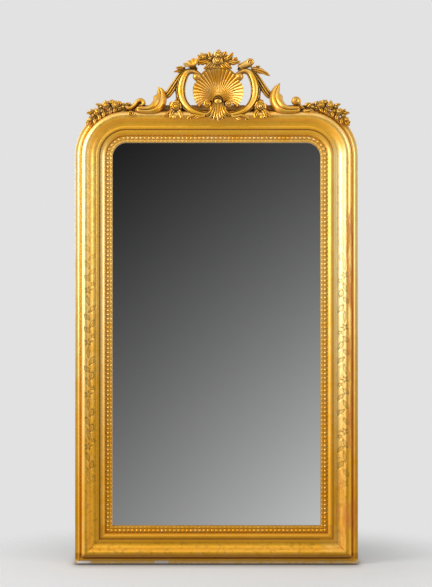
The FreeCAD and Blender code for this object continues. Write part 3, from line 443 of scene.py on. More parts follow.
# Pearls in the channel and the finer row on the sight edge
PEARL_RADIUS, PEARL_PITCH, PEARL_GRIME_AND_SHADE_SHARE = 0.0046, 0.0133, 0.22
PEARL_IN, STRIP_TOP = (STRIP_IN + STRIP_END)/2, PEARL_TOP - PEARL_RADIUS
SEED_IN, SEED_OUT, SEED_SIZES = 0.1145, 0.0418, (0.0019, 0.0018, 0.0042)
STRIP_ROWS, PEARL_GRID, SEED_GRID = 24, (12, 8), (8, 6)
STRIP = np.array([(STRIP_IN, STRIP_FLOOR), (STRIP_IN, STRIP_TOP), (STRIP_END, STRIP_TOP),
                  (STRIP_END, STRIP_FLOOR), (STRIP_IN, STRIP_FLOOR)])


def pearl():
    """One cast pearl: a dome drawn in at its foot, with its face towards the room."""
    piece = sphere("pearl_model", PEARL_RADIUS, *PEARL_GRID)
    piece.data.transform(FACE_ROOM)
    return flat_backed(piece, PEARL_RADIUS/3)


def seed():
    """One small long pearl of the finer row."""
    piece = sphere("seed_model", 1, *SEED_GRID)
    piece.data.transform(Matrix.Diagonal((*SEED_SIZES, 1)))
    return flat_backed(piece, SEED_SIZES[1]/2)


def row_of(name, model, places):
    """Copies of a small model at each place, in one mesh of their own."""
    spots = np.array([vertex.co for vertex in model.data.vertices])
    faces = [tuple(face.vertices) for face in model.data.polygons]
    verts, polygons = [], []
    for number, place in enumerate(places):
        turn = np.array(place)
        verts.append(spots @ turn[:3, :3].T + turn[:3, 3])
        polygons += [tuple(index + number*len(spots) for index in face) for face in faces]
    mesh = bpy.data.meshes.new(name)
    mesh.from_pydata(np.concatenate(verts).tolist(), [], polygons)
    piece = bpy.data.objects.new(name, mesh)
    bpy.context.scene.collection.objects.link(piece)
    return piece


PEARL_MODEL, SEED_MODEL = pearl(), seed()


def pearl_row(name, points, stand, steps, place):
    """A strip with its pearls and the finer row beside them, with soiling and painted shade round the pearls'
    feet.
    """
    strip = draped(name + "_strip", points)
    pearls = row_of(name + "_pearls", PEARL_MODEL, [stand(PEARL_IN, STRIP_TOP, step) for step in steps])
    seeds = row_of(name + "_seeds", SEED_MODEL, [stand(SEED_IN, SEED_OUT, step) for step in steps])
    piece = joined(name, [strip, pearls, seeds])
    out = np.array([-vertex.co.y for vertex in piece.data.vertices])
    # Soiling and painted shade, darker the deeper a point lies towards the channel floor
    mark(piece, "hollow", PEARL_GRIME_AND_SHADE_SHARE*np.clip((PEARL_TOP - out)/PEARL_RADIUS, 0, 1)**2)
    piece.data.transform(place)
    return piece


def middles(start, end, count):
    """The middles of even steps from start to end."""
    return [start + (number + 0.5)*(end - start)/count for number in range(count)]


def pearl_length(name, start, end, place):
    def stand(inward, outward, step):
        return Matrix.Translation((inward, -outward, step))
    columns = (STRIP[:, 0], -STRIP[:, 1], np.array([start, end])[:, None])
    points = np.stack([np.broadcast_to(column, (2, len(STRIP))) for column in columns], axis=2)
    return pearl_row(name, points, stand, middles(start, end, int((end - start)//PEARL_PITCH)), place)


def pearl_corner(name, place):
    def stand(inward, outward, angle):
        return Matrix.Rotation(angle, 4, "Y") @ Matrix.Translation((inward - CORNER, -outward, 0))
    angles = np.linspace(0, QUARTER, STRIP_ROWS)[:, None]
    reach = CORNER - STRIP[None, :, 0]
    out = np.broadcast_to(-STRIP[None, :, 1], (STRIP_ROWS, len(STRIP)))
    points = np.stack([-reach*np.cos(angles), out, reach*np.sin(angles)], axis=2)
    count = max(int((CORNER - PEARL_IN)*QUARTER//PEARL_PITCH), 2)
    return pearl_row(name, points, stand, middles(0, QUARTER, count), place)


# Node and made piece, where a length starts and ends along its moulding, and its place
PEARL_LENGTHS = (
    ("beads_left", "pearls_left", STRIP_IN, SIDE, LEFT_FOOT),
    ("beads_right", "pearls_right", 0, SIDE - STRIP_IN, RIGHT_HEAD),
    ("beads_top", "pearls_top", 0, TOP_LENGTH, TOP_LEFT),
    ("beads_bottom", "pearls_bottom", STRIP_END, 2*HALF_WIDTH - STRIP_END, BOTTOM_RIGHT),
)
PEARL_CORNERS = (
    ("beads_corner_left", "pearls_corner_left", CORNER_LEFT),
    ("beads_corner_right", "pearls_corner_right", CORNER_RIGHT),
)
pearl_rows = {node: pearl_length(*row) for node, *row in PEARL_LENGTHS}
pearl_rows.update({node: pearl_corner(*row) for node, *row in PEARL_CORNERS})
for model in (PEARL_MODEL, SEED_MODEL):
    bpy.data.objects.remove(model)

# Carving. A station gives shares of the crest's reach, rise and depth, then width and thickness shares.
ROUND_COLUMNS, GOUGED_COLUMNS = 14, 13
REED_FLOOR_SHARE = 0.70
GOUGE_FLOOR_SHARE, GOUGE_POWER = 0.62, 0.7
BROAD_FLOOR_SHARE, BROAD_POWER = 0.78, 0.8
EDGE_SHARE, EDGE_RISE_SHARE, EDGE_SOFT_SHARE = 0.88, 0.88, 0.10
SWELL_SHARE, SWELL_FLOOR_SHARE = 0.74, 0.58


def spot(station, sign):
    along_share, up_share, out_share = station[:3]
    return np.array([CREST_SHIFT + sign*along_share*CREST_REACH, -BACK - out_share*CREST_DEPTH,
                     TOP + up_share*CREST_RISE])


def round_section(count=ROUND_COLUMNS):
    turn = np.linspace(0, math.pi, count)
    front = np.stack([-np.cos(turn), np.sin(turn)], axis=1)
    return np.concatenate([front, front[:1]])


def front_section(height, count):
    """Closed section whose front follows a height given at places from -1 to 1 across."""
    across = -np.cos(np.linspace(0, math.pi, count))
    front = np.stack([across, height(across)], axis=1)
    return np.concatenate([front, front[:1]])


def dome(across):
    return np.sqrt(np.clip(1 - across**2, 0, 1))


def waved(floor_share, wave):
    """A height that falls to its floor share where a wave from 0 to 1 is at its lowest."""
    return floor_share + (1 - floor_share)*wave


def reeded(count):
    """A height with a number of round reeds side by side."""
    return lambda across: dome(across**2)*waved(
        REED_FLOOR_SHARE, np.abs(np.sin(count*math.pi*(across + 1)/2)))


def gouged(across):
    """A leaf's two halves with a gouge down the middle."""
    return dome(across)*waved(GOUGE_FLOOR_SHARE, np.abs(np.sin(math.pi*across))**GOUGE_POWER)


def acanthus_front(across):
    """A broad leaf, gouged more lightly."""
    return dome(across)**BROAD_POWER*waved(BROAD_FLOOR_SHARE, np.abs(np.sin(math.pi*across))**BROAD_POWER)


def scroll_front(across):
    """Thin raised lips along both edges and a broad, low swell between them."""
    lips = EDGE_RISE_SHARE*np.exp(-((np.abs(across) - EDGE_SHARE)/EDGE_SOFT_SHARE)**4)
    swell = waved(SWELL_FLOOR_SHARE, dome(np.clip(across/SWELL_SHARE, -1, 1)))
    return np.maximum(lips, swell)*dome(across**6)


def sweep(name, path, section, across_share=None):
    """Carries a section along rows of (place, half width, height); its back lies flat towards the wall."""
    places = path[:, :3]
    heading = np.gradient(places, axis=0)
    across = np.stack([heading[:, 2], np.zeros(len(path)), -heading[:, 0]], axis=1)
    across /= np.maximum(np.linalg.norm(across, axis=1, keepdims=True), MERGE)
    widths = np.broadcast_to(section[None, :, 0], (len(path), len(section)))
    if across_share is not None:
        widths = widths*across_share
    points = (places[:, None, :] + across[:, None, :]*(widths*path[:, 3:4])[:, :, None]
              + FORWARD*(section[None, :, 1]*path[:, 4:5])[:, :, None])
    return draped(name, points)


def limb_rows(stations, sign, width, thickness):
    return [[*spot(station, sign), station[3]*width/2, station[4]*thickness] for station in stations]


def limb_path(stations, sign, width, thickness, count):
    return through(limb_rows(stations, sign, width, thickness), count)


def arch(centre, reach, turn):
    """Places round a centre in the plane of the wall, each turned from straight up."""
    return np.stack([centre[0] + reach*np.sin(turn), np.full(len(turn), centre[1]),
                     centre[2] + reach*np.cos(turn)], axis=1)


def tapered(count, start, power):
    """Shares that swell from both ends to the middle."""
    return np.sin(np.linspace(start, math.pi - start, count))**power


# A coil: the angle of its outer end, its turns, then reach, half width and height at its eye and at that end,
# and its steps
Coil = namedtuple("Coil", "angle turns reaches half_widths heights count")


def coil_path(eye, shape, hand, lean=0):
    """A spiral in the plane of the wall, from its eye out to its outer end."""
    share = np.linspace(0, 1, shape.count)
    angle = math.radians(shape.angle + lean) - hand*math.tau*shape.turns*(1 - share)
    radius = np.linspace(*shape.reaches, shape.count)
    places = np.stack([eye[0] + radius*np.cos(angle), np.full(shape.count, eye[1]),
                       eye[2] + radius*np.sin(angle)], axis=1)
    return np.column_stack([places, np.linspace(*shape.half_widths, shape.count),
                            np.linspace(*shape.heights, shape.count)])


def coil(name, eye, shape, hand, lean=0):
    """A round band rolled up in a spiral."""
    return sweep(name, coil_path(eye, shape, hand, lean), round_section())


BALL_SQUASH_SHARE, BALL_GRID = 0.85, (24, 14)


def ball(name, centre, radius, squash_share=BALL_SQUASH_SHARE):
    """A turned ball, flattened a little from front to back."""
    piece = sphere(name, radius, *BALL_GRID)
    piece.data.transform(FACE_ROOM)
    spots = np.array([vertex.co for vertex in piece.data.vertices])
    spots[:, 1] *= squash_share
    piece.data.vertices.foreach_set("co", (spots + centre).reshape(-1))
    return piece


# Leaves. A blade has a half width and a thickness, a share of its length that its tip curls forward,
# and a power for its outline: a low power makes it full.
Blade = namedtuple("Blade", "half_width thickness curl_share power")
SLIM, FULL = 0.75, 0.55
LEAF_ROWS, LEAF_LOBES, LEAF_CURL_POWER = 22, 3, 2.2
LEAF_ROOT_SHARE, LEAF_SWELL_POWER = 0.10, 0.85
SCALLOP_SHARE, SCALLOP_POWER = 0.20, 3
LEAF_THIN_SHARE, LEAF_TIP_SHARE, LEAF_TIP_STEEP = 0.55, 1.03, 8


def leaf(name, root, tip, blade, bend):
    """A leaf with two swelling halves, scalloped edges and a tip that turns forward."""
    share = np.linspace(0, 1, LEAF_ROWS)
    length = np.linalg.norm(tip - root)
    heading = (tip - root)/max(length, MERGE)
    aside = np.array([heading[2], 0, -heading[0]])
    places = (root + (tip - root)*share[:, None] + aside*(bend*length*np.sin(math.pi*share))[:, None]
              + FORWARD*(blade.curl_share*length*share**LEAF_CURL_POWER)[:, None])
    swell = np.clip(waved(LEAF_ROOT_SHARE, share), 0, 1)**LEAF_SWELL_POWER
    outline = np.clip(np.sin(math.pi*swell), 0, 1)**blade.power
    scallop = 1 - SCALLOP_SHARE*np.abs(np.cos(LEAF_LOBES*math.pi*share))**SCALLOP_POWER
    point = np.clip(LEAF_TIP_STEEP*(LEAF_TIP_SHARE - share), 0, 1)
    height = blade.thickness*waved(LEAF_THIN_SHARE, np.sin(math.pi*share))*point
    path = np.column_stack([places, blade.half_width*outline*scallop, height])
    return sweep(name, path, front_section(gouged, GOUGED_COLUMNS))


# Flowers. Each tier of petals has shares of the flower's radius for its reach and half width,
# and of the flower's depth for its rise.
TIER_SHARES = ((1.0, 0.39, 0.50), (0.60, 0.27, 0.68))
PETALS, TIER_FLAT_SHARE, PETAL_DROP_SHARE = 5, 0.4, 0.35
EYE_SHARE, EYE_RISE_SHARE = 0.27, 0.80
PETAL_ROWS, PETAL_COLUMNS, CUP_FLOOR_SHARE = 9, 9, 0.55
PETAL_ROOT_SHARE, PETAL_ARCH_SHARE, PETAL_ROLL_POWER = 0.08, 0.78, 4
PETAL_OUTLINE_SHARES, PETAL_OUTLINE_POWER = (0.12, 0.80), 0.7
PETAL_HEIGHT_SHARES = (0.33, 0.21)


def cupped(across):
    return dome(across**3)*waved(CUP_FLOOR_SHARE, across**2)


def petal(name, centre, direction, length, half_width, lift, drop):
    """A broad petal that rises from the eye and rolls over at its rim."""
    share = np.linspace(PETAL_ROOT_SHARE, 1, PETAL_ROWS)
    rise = lift*np.sin(PETAL_ARCH_SHARE*math.pi*share) - drop*share**PETAL_ROLL_POWER
    places = centre + direction*(length*share)[:, None] + FORWARD*rise[:, None]
    swell = np.clip(PETAL_OUTLINE_SHARES[0] + PETAL_OUTLINE_SHARES[1]*share, 0, 1)
    outline = half_width*np.sin(math.pi*swell)**PETAL_OUTLINE_POWER
    height = lift*(PETAL_HEIGHT_SHARES[0] - PETAL_HEIGHT_SHARES[1]*share)
    return sweep(name, np.column_stack([places, outline, height]), front_section(cupped, PETAL_COLUMNS))


def blossom(name, centre, radius, depth, petals, turn, tiers=2):
    """A flower of one or two tiers of petals round a bossed eye."""
    parts = []
    for tier, (reach_share, spread_share, rise_share) in enumerate(TIER_SHARES[:tiers]):
        drop = PETAL_DROP_SHARE*depth*(1 - TIER_FLAT_SHARE*tier)
        for number in range(petals):
            angle = turn + math.tau*(number + 0.5*tier)/petals
            direction = np.array([math.sin(angle), 0, math.cos(angle)])
            parts.append(petal(f"{name}_petal", centre, direction, reach_share*radius, spread_share*radius,
                               rise_share*depth, drop))
    parts.append(ball(f"{name}_eye", centre + FORWARD*(EYE_RISE_SHARE*depth), EYE_SHARE*radius))
    return joined(name, parts)


# Shell: flutes fan out from a hinge under its centre, and the crown is a little flatter than a circle
FLUTES, FLUTE_STEP, FLUTE_ROWS = 30, math.radians(7), 8
SHELL_RADIUS, HINGE_DROP, HINGE_RISE = 0.081, 0.038, 0.009
HINGE = np.array([CREST_SHIFT, -BACK, TOP + HINGE_RISE])
CROWN_FLAT_SHARE, CROWN_SPREAD = 0.10, (math.radians(36), math.radians(64))
RIM_NOTCH_SHARE, RIM_POWER = 0.030, 0.5
FAN_COLUMNS, FAN_START_SHARE, FAN_TURN_SHARE, BEHIND_STEP = 26, 0.06, 0.56, 5
DISH_SHARES, DISH_POWERS = (0.58, 0.30, 0.34), (0.8, 2.4)
RIB_SHARE, RIB_POWER = 0.40, 0.55
LIP_SPREAD, LIP_STEPS, LIP_TAPER = math.radians(40), 40, (0.15, 0.5)
LIP_HALF_WIDTH, LIP_HEIGHT = 0.0042, 0.0100


def shell_reach(angle):
    """Distance from the hinge to the rim in a direction from straight up."""
    circle = HINGE_DROP*np.cos(angle) + np.sqrt(SHELL_RADIUS**2 - (HINGE_DROP*np.sin(angle))**2)
    return circle*(1 - CROWN_FLAT_SHARE*(1 - stepped(*CROWN_SPREAD, np.abs(angle))))


def shell():
    """A dished fan of rounded flutes, with a raised lip along its crown."""
    flute = np.linspace(-FLUTES/2, FLUTES/2, FLUTES*FLUTE_ROWS + 1)
    rim_angle = flute*FLUTE_STEP
    inside = np.abs(np.sin(math.pi*(flute + FLUTES/2)))
    reach = shell_reach(rim_angle)*waved(1 - RIM_NOTCH_SHARE, inside**RIM_POWER)
    front = np.linspace(FAN_START_SHARE, 1, FAN_COLUMNS)
    radius = front[None, :]*reach[:, None]
    angle = rim_angle[:, None]*waved(FAN_TURN_SHARE, front[None, :])
    dish = (DISH_SHARES[0] - DISH_SHARES[1]*np.sin(math.pi*front**DISH_POWERS[0])
            + DISH_SHARES[2]*front**DISH_POWERS[1])
    rib = RIB_SHARE*radius*FLUTE_STEP*inside[:, None]**RIB_POWER
    depth = np.minimum(SHELL_DEPTH*dish[None, :] + rib, SHELL_DEPTH)
    face = np.stack([HINGE[0] + radius*np.sin(angle), HINGE[1] - depth, HINGE[2] + radius*np.cos(angle)],
                    axis=2)
    behind = face[:, ::-BEHIND_STEP].copy()
    behind[:, :, 1] = HINGE[1]
    fan = draped("shell_fan", np.concatenate([face, behind, face[:, :1]], axis=1))
    turn = np.linspace(-LIP_SPREAD, LIP_SPREAD, LIP_STEPS)
    bed = HINGE + FORWARD*(SHELL_DEPTH*dish[-1] - LIP_HEIGHT/2)
    taper = tapered(LIP_STEPS, *LIP_TAPER)
    path = np.column_stack([arch(bed, shell_reach(turn) + LIP_HALF_WIDTH/2, turn),
                            LIP_HALF_WIDTH*taper, LIP_HEIGHT*taper])
    return joined("carved_shell", [fan, sweep("shell_lip", path, round_section())])


# Hood over the shell's hinge, with a boss under it
HOOD_SHARES = (0, 0.058, 0.30)
HOOD_REACH, HOOD_HALF_WIDTH, HOOD_RISE = 0.0150, 0.0066, 0.033
HOOD_SPREAD, HOOD_STEPS, HOOD_TAPER, HOOD_COLUMNS = math.radians(104), 48, (0.20, 0.4), 25
BOSS_RADIUS, BOSS_OUT, BOSS_SQUASH_SHARE, HOOD_REEDS = 0.0130, 0.019, 0.62, 2

# Each reed of the palmette from its root through the waist to its tip, as places aside and up
REED_SHARES = (
    ((0.000, 0.040), (0.000, -0.070), (0.000, -0.200), (0.000, -0.322)),
    ((0.018, 0.040), (0.020, -0.070), (0.030, -0.195), (0.060, -0.305)),
    ((0.034, 0.036), (0.040, -0.065), (0.060, -0.180), (0.108, -0.262)),
    ((0.048, 0.030), (0.058, -0.055), (0.088, -0.150), (0.146, -0.205)),
)
REED_OUT_SHARES, REED_WIDTH_SHARES = (0.50, 0.66, 0.76, 0.82), (0.50, 0.66, 1, 0.42)
REED_WIDTH, REED_THICKNESS, REED_THIN_SHARE, REED_STEPS = 0.0160, 0.0120, 0.5, 26
PALMETTE_CURL_SHARES = (0.125, 0.01, 0.62)
PALMETTE_COIL = Coil(90, 1.6, (0.0030, 0.0105), (0.0020, 0.0042), (0.0100, 0.0040), 40)
CURL_EYE_OUT, PALMETTE_EYE_RADIUS = 0.004, 0.0048


def hood():
    centre = spot(HOOD_SHARES, RIGHT)
    turn = np.linspace(-HOOD_SPREAD, HOOD_SPREAD, HOOD_STEPS)
    taper = tapered(HOOD_STEPS, *HOOD_TAPER)
    path = np.column_stack([arch(centre, HOOD_REACH, turn), HOOD_HALF_WIDTH*taper, HOOD_RISE*taper])
    bow = sweep("hood_arch", path, front_section(reeded(HOOD_REEDS), HOOD_COLUMNS))
    return [bow, ball("hood_boss", centre + FORWARD*BOSS_OUT, BOSS_RADIUS, BOSS_SQUASH_SHARE)]


def palmette():
    parts = hood()
    for number, reed in enumerate(REED_SHARES):
        for sign in ((RIGHT,) if number == 0 else (LEFT, RIGHT)):
            stations = [(*place, out_share, width_share, waved(REED_THIN_SHARE, width_share))
                        for place, out_share, width_share in zip(reed, REED_OUT_SHARES, REED_WIDTH_SHARES)]
            path = limb_path(stations, sign, REED_WIDTH, REED_THICKNESS, REED_STEPS)
            parts.append(sweep("palmette_reed", path, front_section(gouged, GOUGED_COLUMNS)))
    for sign in (LEFT, RIGHT):
        eye = spot(PALMETTE_CURL_SHARES, sign)
        parts.append(coil("palmette_curl", eye, PALMETTE_COIL, sign))
        parts.append(ball("palmette_eye", eye + FORWARD*CURL_EYE_OUT, PALMETTE_EYE_RADIUS))
    return joined("carved_palmette", parts)


# C-scrolls: a volute beside the shell, then a band that swings out, down and in to the palmette
C_SCROLL_SHARES = (
    (0.323, 0.605, 0.22, 0.62, 0.80), (0.385, 0.573, 0.20, 0.80, 0.90), (0.431, 0.449, 0.20, 0.94, 1),
    (0.454, 0.292, 0.22, 1, 1), (0.442, 0.124, 0.27, 0.98, 1), (0.396, -0.011, 0.36, 0.92, 1),
    (0.323, -0.112, 0.47, 0.80, 0.95), (0.231, -0.172, 0.54, 0.74, 0.85), (0.150, -0.188, 0.57, 0.60, 0.70),
    (0.098, -0.140, 0.61, 0.46, 0.55), (0.080, -0.050, 0.64, 0.30, 0.42),
)
SCROLL_WIDTH, SCROLL_THICKNESS, SCROLL_STEPS, SCROLL_COLUMNS = 0.028, 0.024, 110, 33
VOLUTE_SHARES = (0.262, 0.500, 0.26)
VOLUTE_COIL = Coil(90, 0.85, (0.0055, 0.0125), (0.0045, 0.0068), (0.0220, 0.0190), 18)
VOLUTE_LEAN, VOLUTE_STEP, VOLUTE_EYE_OUT, VOLUTE_EYE_RADIUS = 20, 3, 0.012, 0.0125


def c_scroll(name, sign):
    eye = spot(VOLUTE_SHARES, sign)
    volute = coil_path(eye, VOLUTE_COIL, -sign, -sign*VOLUTE_LEAN)
    limb = limb_rows(C_SCROLL_SHARES, sign, SCROLL_WIDTH, SCROLL_THICKNESS)
    path = through(np.vstack([volute[::VOLUTE_STEP], limb]), SCROLL_STEPS)
    band = sweep(name, path, front_section(scroll_front, SCROLL_COLUMNS))
    return joined(name, [band, ball(name + "_eye", eye + FORWARD*VOLUTE_EYE_OUT, VOLUTE_EYE_RADIUS, 1)])


# Acanthus leaves, from their round ends on the rail to their tips. Each swell of the outer edge has a place
# along the leaf, a length and a height; a notch is a swell below zero.
ACANTHUS_ROOT_SHARES = (
    (1.000, -0.084, 0.54, 0.18, 0.55), (0.968, -0.092, 0.54, 0.54, 0.85), (0.865, -0.105, 0.55, 0.66, 0.90),
)
ACANTHUS_TIP_SHARES = {
    RIGHT: (
        (0.770, -0.065, 0.52, 0.94, 1), (0.715, 0.045, 0.40, 1, 1), (0.700, 0.170, 0.28, 0.88, 0.90),
        (0.715, 0.285, 0.22, 0.58, 0.70), (0.757, 0.393, 0.26, 0.04, 0.30),
    ),
    LEFT: (
        (0.770, -0.065, 0.52, 0.96, 1), (0.715, 0.045, 0.40, 1, 1), (0.700, 0.150, 0.28, 0.90, 0.90),
        (0.705, 0.245, 0.22, 0.62, 0.70), (0.730, 0.325, 0.26, 0.06, 0.30),
    ),
}
ACANTHUS_WIDTH, ACANTHUS_THICKNESS, ACANTHUS_STEPS, ACANTHUS_COLUMNS = 0.042, 0.027, 72, 33
ACANTHUS_SWELL_SHARES = ((0.69, 0.07, 0.24), (0.805, 0.045, -0.22))


def acanthus(name, sign):
    stations = ACANTHUS_ROOT_SHARES + ACANTHUS_TIP_SHARES[sign]
    path = limb_path(stations, sign, ACANTHUS_WIDTH, ACANTHUS_THICKNESS, ACANTHUS_STEPS)
    section = front_section(acanthus_front, ACANTHUS_COLUMNS)
    share = np.linspace(0, 1, ACANTHUS_STEPS)[:, None]
    swell = sum(height*np.exp(-((share - place)/length)**2)
                for place, length, height in ACANTHUS_SWELL_SHARES)
    outer_edge = sign*section[None, :, 0] > 0
    return sweep(name, path, section, 1 + swell*outer_edge)


STRAP_SHARES = (
    (0.672, 0.120, 0.20, 0.60, 0.80), (0.608, 0.205, 0.18, 1, 1), (0.531, 0.370, 0.16, 1, 1),
    (0.462, 0.520, 0.16, 0.90, 1), (0.415, 0.612, 0.18, 0.55, 0.80),
)
STRAP_WIDTH, STRAP_THICKNESS, STRAP_STEPS, STRAP_REEDS, STRAP_COLUMNS = 0.023, 0.015, 40, 3, 37


def strap(name, sign):
    path = limb_path(STRAP_SHARES, sign, STRAP_WIDTH, STRAP_THICKNESS, STRAP_STEPS)
    return sweep(name, path, front_section(reeded(STRAP_REEDS), STRAP_COLUMNS))


# Each shoulder leaf's root and tip as shares, then its half width in metres
SHOULDER_LEAVES = {
    RIGHT: (
        ((0.400, 0.640, 0.26), (0.640, 0.515, 0.26), 0.010),
        ((0.430, 0.650, 0.24), (0.520, 0.690, 0.30), 0.006),
    ),
    LEFT: (
        ((0.400, 0.630, 0.26), (0.520, 0.665, 0.26), 0.008),
        ((0.430, 0.600, 0.24), (0.545, 0.590, 0.28), 0.006),
    ),
}
SHOULDER_THICKNESS, SHOULDER_CURL_SHARE, SHOULDER_BEND_SHARE = 0.011, 0.05, 0.08


def shoulder_leaf(name, sign):
    parts = []
    for root, tip, half_width in SHOULDER_LEAVES[sign]:
        blade = Blade(half_width, SHOULDER_THICKNESS, SHOULDER_CURL_SHARE, SLIM)
        parts.append(leaf(name, spot(root, sign), spot(tip, sign), blade, -sign*SHOULDER_BEND_SHARE))
    return joined(name, parts)


# Each bell's root and mouth as shares, then its neck and mouth radii in metres
BELLS = {
    LEFT: ((0.285, 0.615, 0.18), (0.325, 0.755, 0.40), 0.0100, 0.0275),
    RIGHT: ((0.245, 0.665, 0.24), (0.392, 0.752, 0.30), 0.0115, 0.0150),
}

# A bell's outline from its root over the rim into the throat: along its axis, then of neck and mouth radius
BELL_OUTLINE_SHARES = (
    (0, 0, 0), (0.02, 0.60, 0), (0.18, 0.95, 0), (0.45, 1, 0), (0.75, 0.40, 0.50), (0.93, 0, 0.90),
    (1, 0, 1), (0.98, 0, 0.92), (0.80, 0, 0.55), (0.60, 0, 0.28), (0.52, 0, 0),
)
BELL_ROWS, BELL_COLUMNS, BELL_FRILLS = 44, 49, 5
FLARE_SHARE, FRILL_SHARE, RIM_LEAN_SHARE = 0.55, 0.10, 0.06
BELL_ROLL_SHARES, BELL_EYE_RADIUS = (0.400, 0.758, 0.36), 0.0085
BELL_COIL = Coil(200, 1.2, (0.0030, 0.0105), (0.0030, 0.0052), (0.0140, 0.0100), 30)
SEPAL_SHARES, SEPAL_BEND_SHARES = ((0.33, 0.62, 0.36), (0.25, 0.66, 0.36)), (0.1, -0.1)
SEPAL = Blade(0.0075, 0.0090, 0.15, SLIM)


def trumpet(name, root, rim, neck, mouth):
    """A bell-shaped bloom with a frilled, rolled rim and a hollow throat."""
    axis = rim - root
    length = np.linalg.norm(axis)
    axis /= length
    side = np.cross(axis, FORWARD)
    side /= np.linalg.norm(side)
    up = np.cross(side, axis)
    outline = [(along_share, neck_share*neck + mouth_share*mouth)
               for along_share, neck_share, mouth_share in BELL_OUTLINE_SHARES]
    rows = through(outline, BELL_ROWS)
    angle = np.linspace(0, math.tau, BELL_COLUMNS)
    flare = stepped(FLARE_SHARE, 1, rows[:, 0])[:, None]
    radius = np.clip(rows[:, 1:2], 0, mouth)*(1 + FRILL_SHARE*flare*np.cos(BELL_FRILLS*angle)[None, :])
    lean = 1 + RIM_LEAN_SHARE*flare*np.cos(2*BELL_FRILLS*angle)[None, :]
    points = (root + axis*(rows[:, 0:1]*length*lean)[:, :, None]
              + side*(radius*np.cos(angle))[:, :, None] + up*(radius*np.sin(angle))[:, :, None])
    return draped(name, points)


def bud(name, sign):
    """A bell with two sepals; the right one is rolled up at its mouth."""
    root_shares, mouth_shares, neck, mouth = BELLS[sign]
    root = spot(root_shares, sign)
    parts = [trumpet(name + "_bell", root, spot(mouth_shares, sign), neck, mouth)]
    if sign == RIGHT:
        eye = spot(BELL_ROLL_SHARES, sign)
        parts.append(coil(name + "_roll", eye, BELL_COIL, RIGHT))
        parts.append(ball(name + "_eye", eye + FORWARD*CURL_EYE_OUT, BELL_EYE_RADIUS))
    for tip, bend_share in zip(SEPAL_SHARES, SEPAL_BEND_SHARES):
        parts.append(leaf(name + "_sepal", root, spot(tip, sign), SEPAL, bend_share))
    return joined(name, parts)


# The right curl is a rolled leaf with a tail along the rail, the left one a ribbon with a rosette under it
BALL_SHARES, BALL_RADIUS = (0.950, 0.065, 0.45), 0.0150
BALL_COIL = Coil(-55, 1.4, (0.0020, 0.0135), (0.0030, 0.0042), (0.0165, 0.0090), 44)
BALL_LEAF_SHARES = (
    ((0.975, 0.010, 0.40), (1.060, -0.085, 0.50)), ((1.030, -0.118, 0.58), (1.165, -0.102, 0.62)),
)
BALL_LEAF, BALL_LEAF_BEND_SHARE = Blade(0.0085, 0.0120, 0.05, FULL), 0.1
RIBBON_SHARES = (
    (1.130, -0.030, 0.36, 0.70, 0.90), (1.075, -0.064, 0.36, 1, 1), (1.018, -0.010, 0.36, 1, 1),
    (0.984, 0.050, 0.37, 1, 1), (0.944, 0.078, 0.38, 1, 1), (0.912, 0.040, 0.40, 0.95, 1),
    (0.925, -0.012, 0.42, 0.80, 1), (0.948, -0.018, 0.42, 0.50, 0.90),
)
RIBBON_WIDTH, RIBBON_THICKNESS, RIBBON_STEPS = 0.0155, 0.0170, 60
KNOB_SHARES, KNOB_RADII = ((0.948, -0.012, 0.46), (0.979, -0.105, 0.58)), (0.0075, 0.0088)
ROSETTE_SHARES = (1.058, -0.172, 0.75)
ROSETTE_COIL = Coil(0, 1.8, (0.0015, 0.0100), (0.0020, 0.0034), (0.0105, 0.0075), 44)


def ball_curl(name, sign):
    """A leaf rolled up on itself into a ball, its tail and a second leaf lying along the rail."""
    centre = spot(BALL_SHARES, sign)
    parts = [ball(name + "_core", centre, BALL_RADIUS), coil(name + "_coil", centre, BALL_COIL, LEFT)]
    bend = BALL_LEAF_BEND_SHARE*sign
    for root, tip in BALL_LEAF_SHARES:
        parts.append(leaf(name + "_leaf", spot(root, sign), spot(tip, sign), BALL_LEAF, bend))
    return joined(name, parts)


def ribbon_curl(name, sign):
    """A small ribbon that rises from the rail and rolls over, with two knobs and a rosette under it."""
    path = limb_path(RIBBON_SHARES, sign, RIBBON_WIDTH, RIBBON_THICKNESS, RIBBON_STEPS)
    parts = [sweep(name + "_stem", path, round_section())]
    for station, radius in zip(KNOB_SHARES, KNOB_RADII):
        parts.append(ball(name + "_knob", spot(station, sign), radius))
    parts.append(coil(name + "_rosette", spot(ROSETTE_SHARES, sign), ROSETTE_COIL, RIGHT))
    return joined(name, parts)


# Hanging flowers on the rail: a bloom, four leaves with their bends, a bud and the wire that carries them
LOWER_FLOWER_SHARES, LOWER_BUD_SHARES = (0.514, -0.040, 0.46), (0.535, -0.235, 0.82)
LOWER_FLOWER_RADIUS, LOWER_FLOWER_DEPTH, LOWER_FLOWER_TURN, LOWER_BUD_RADIUS = 0.0240, 0.026, 0.2, 0.0078
LOWER_LEAF_SHARES = (
    ((0.500, -0.090, 0.58), (0.450, -0.285, 0.78)), ((0.540, -0.090, 0.58), (0.675, -0.235, 0.78)),
    ((0.505, -0.010, 0.34), (0.500, 0.150, 0.24)), ((0.525, -0.070, 0.56), (0.575, -0.275, 0.80)),
)
LOWER_BEND_SHARES = (0.14, 0.05, -0.04, -0.13)
LOWER_LEAF = Blade(0.0095, 0.0105, 0.04, SLIM)
WIRE_SHARES = ((0.515, 0.02, 0.30, 1, 1), (0.512, 0.16, 0.22, 1, 1), (0.524, 0.36, 0.17, 1, 1))
WIRE, WIRE_STEPS, WIRE_COLUMNS = 0.004, 14, 10


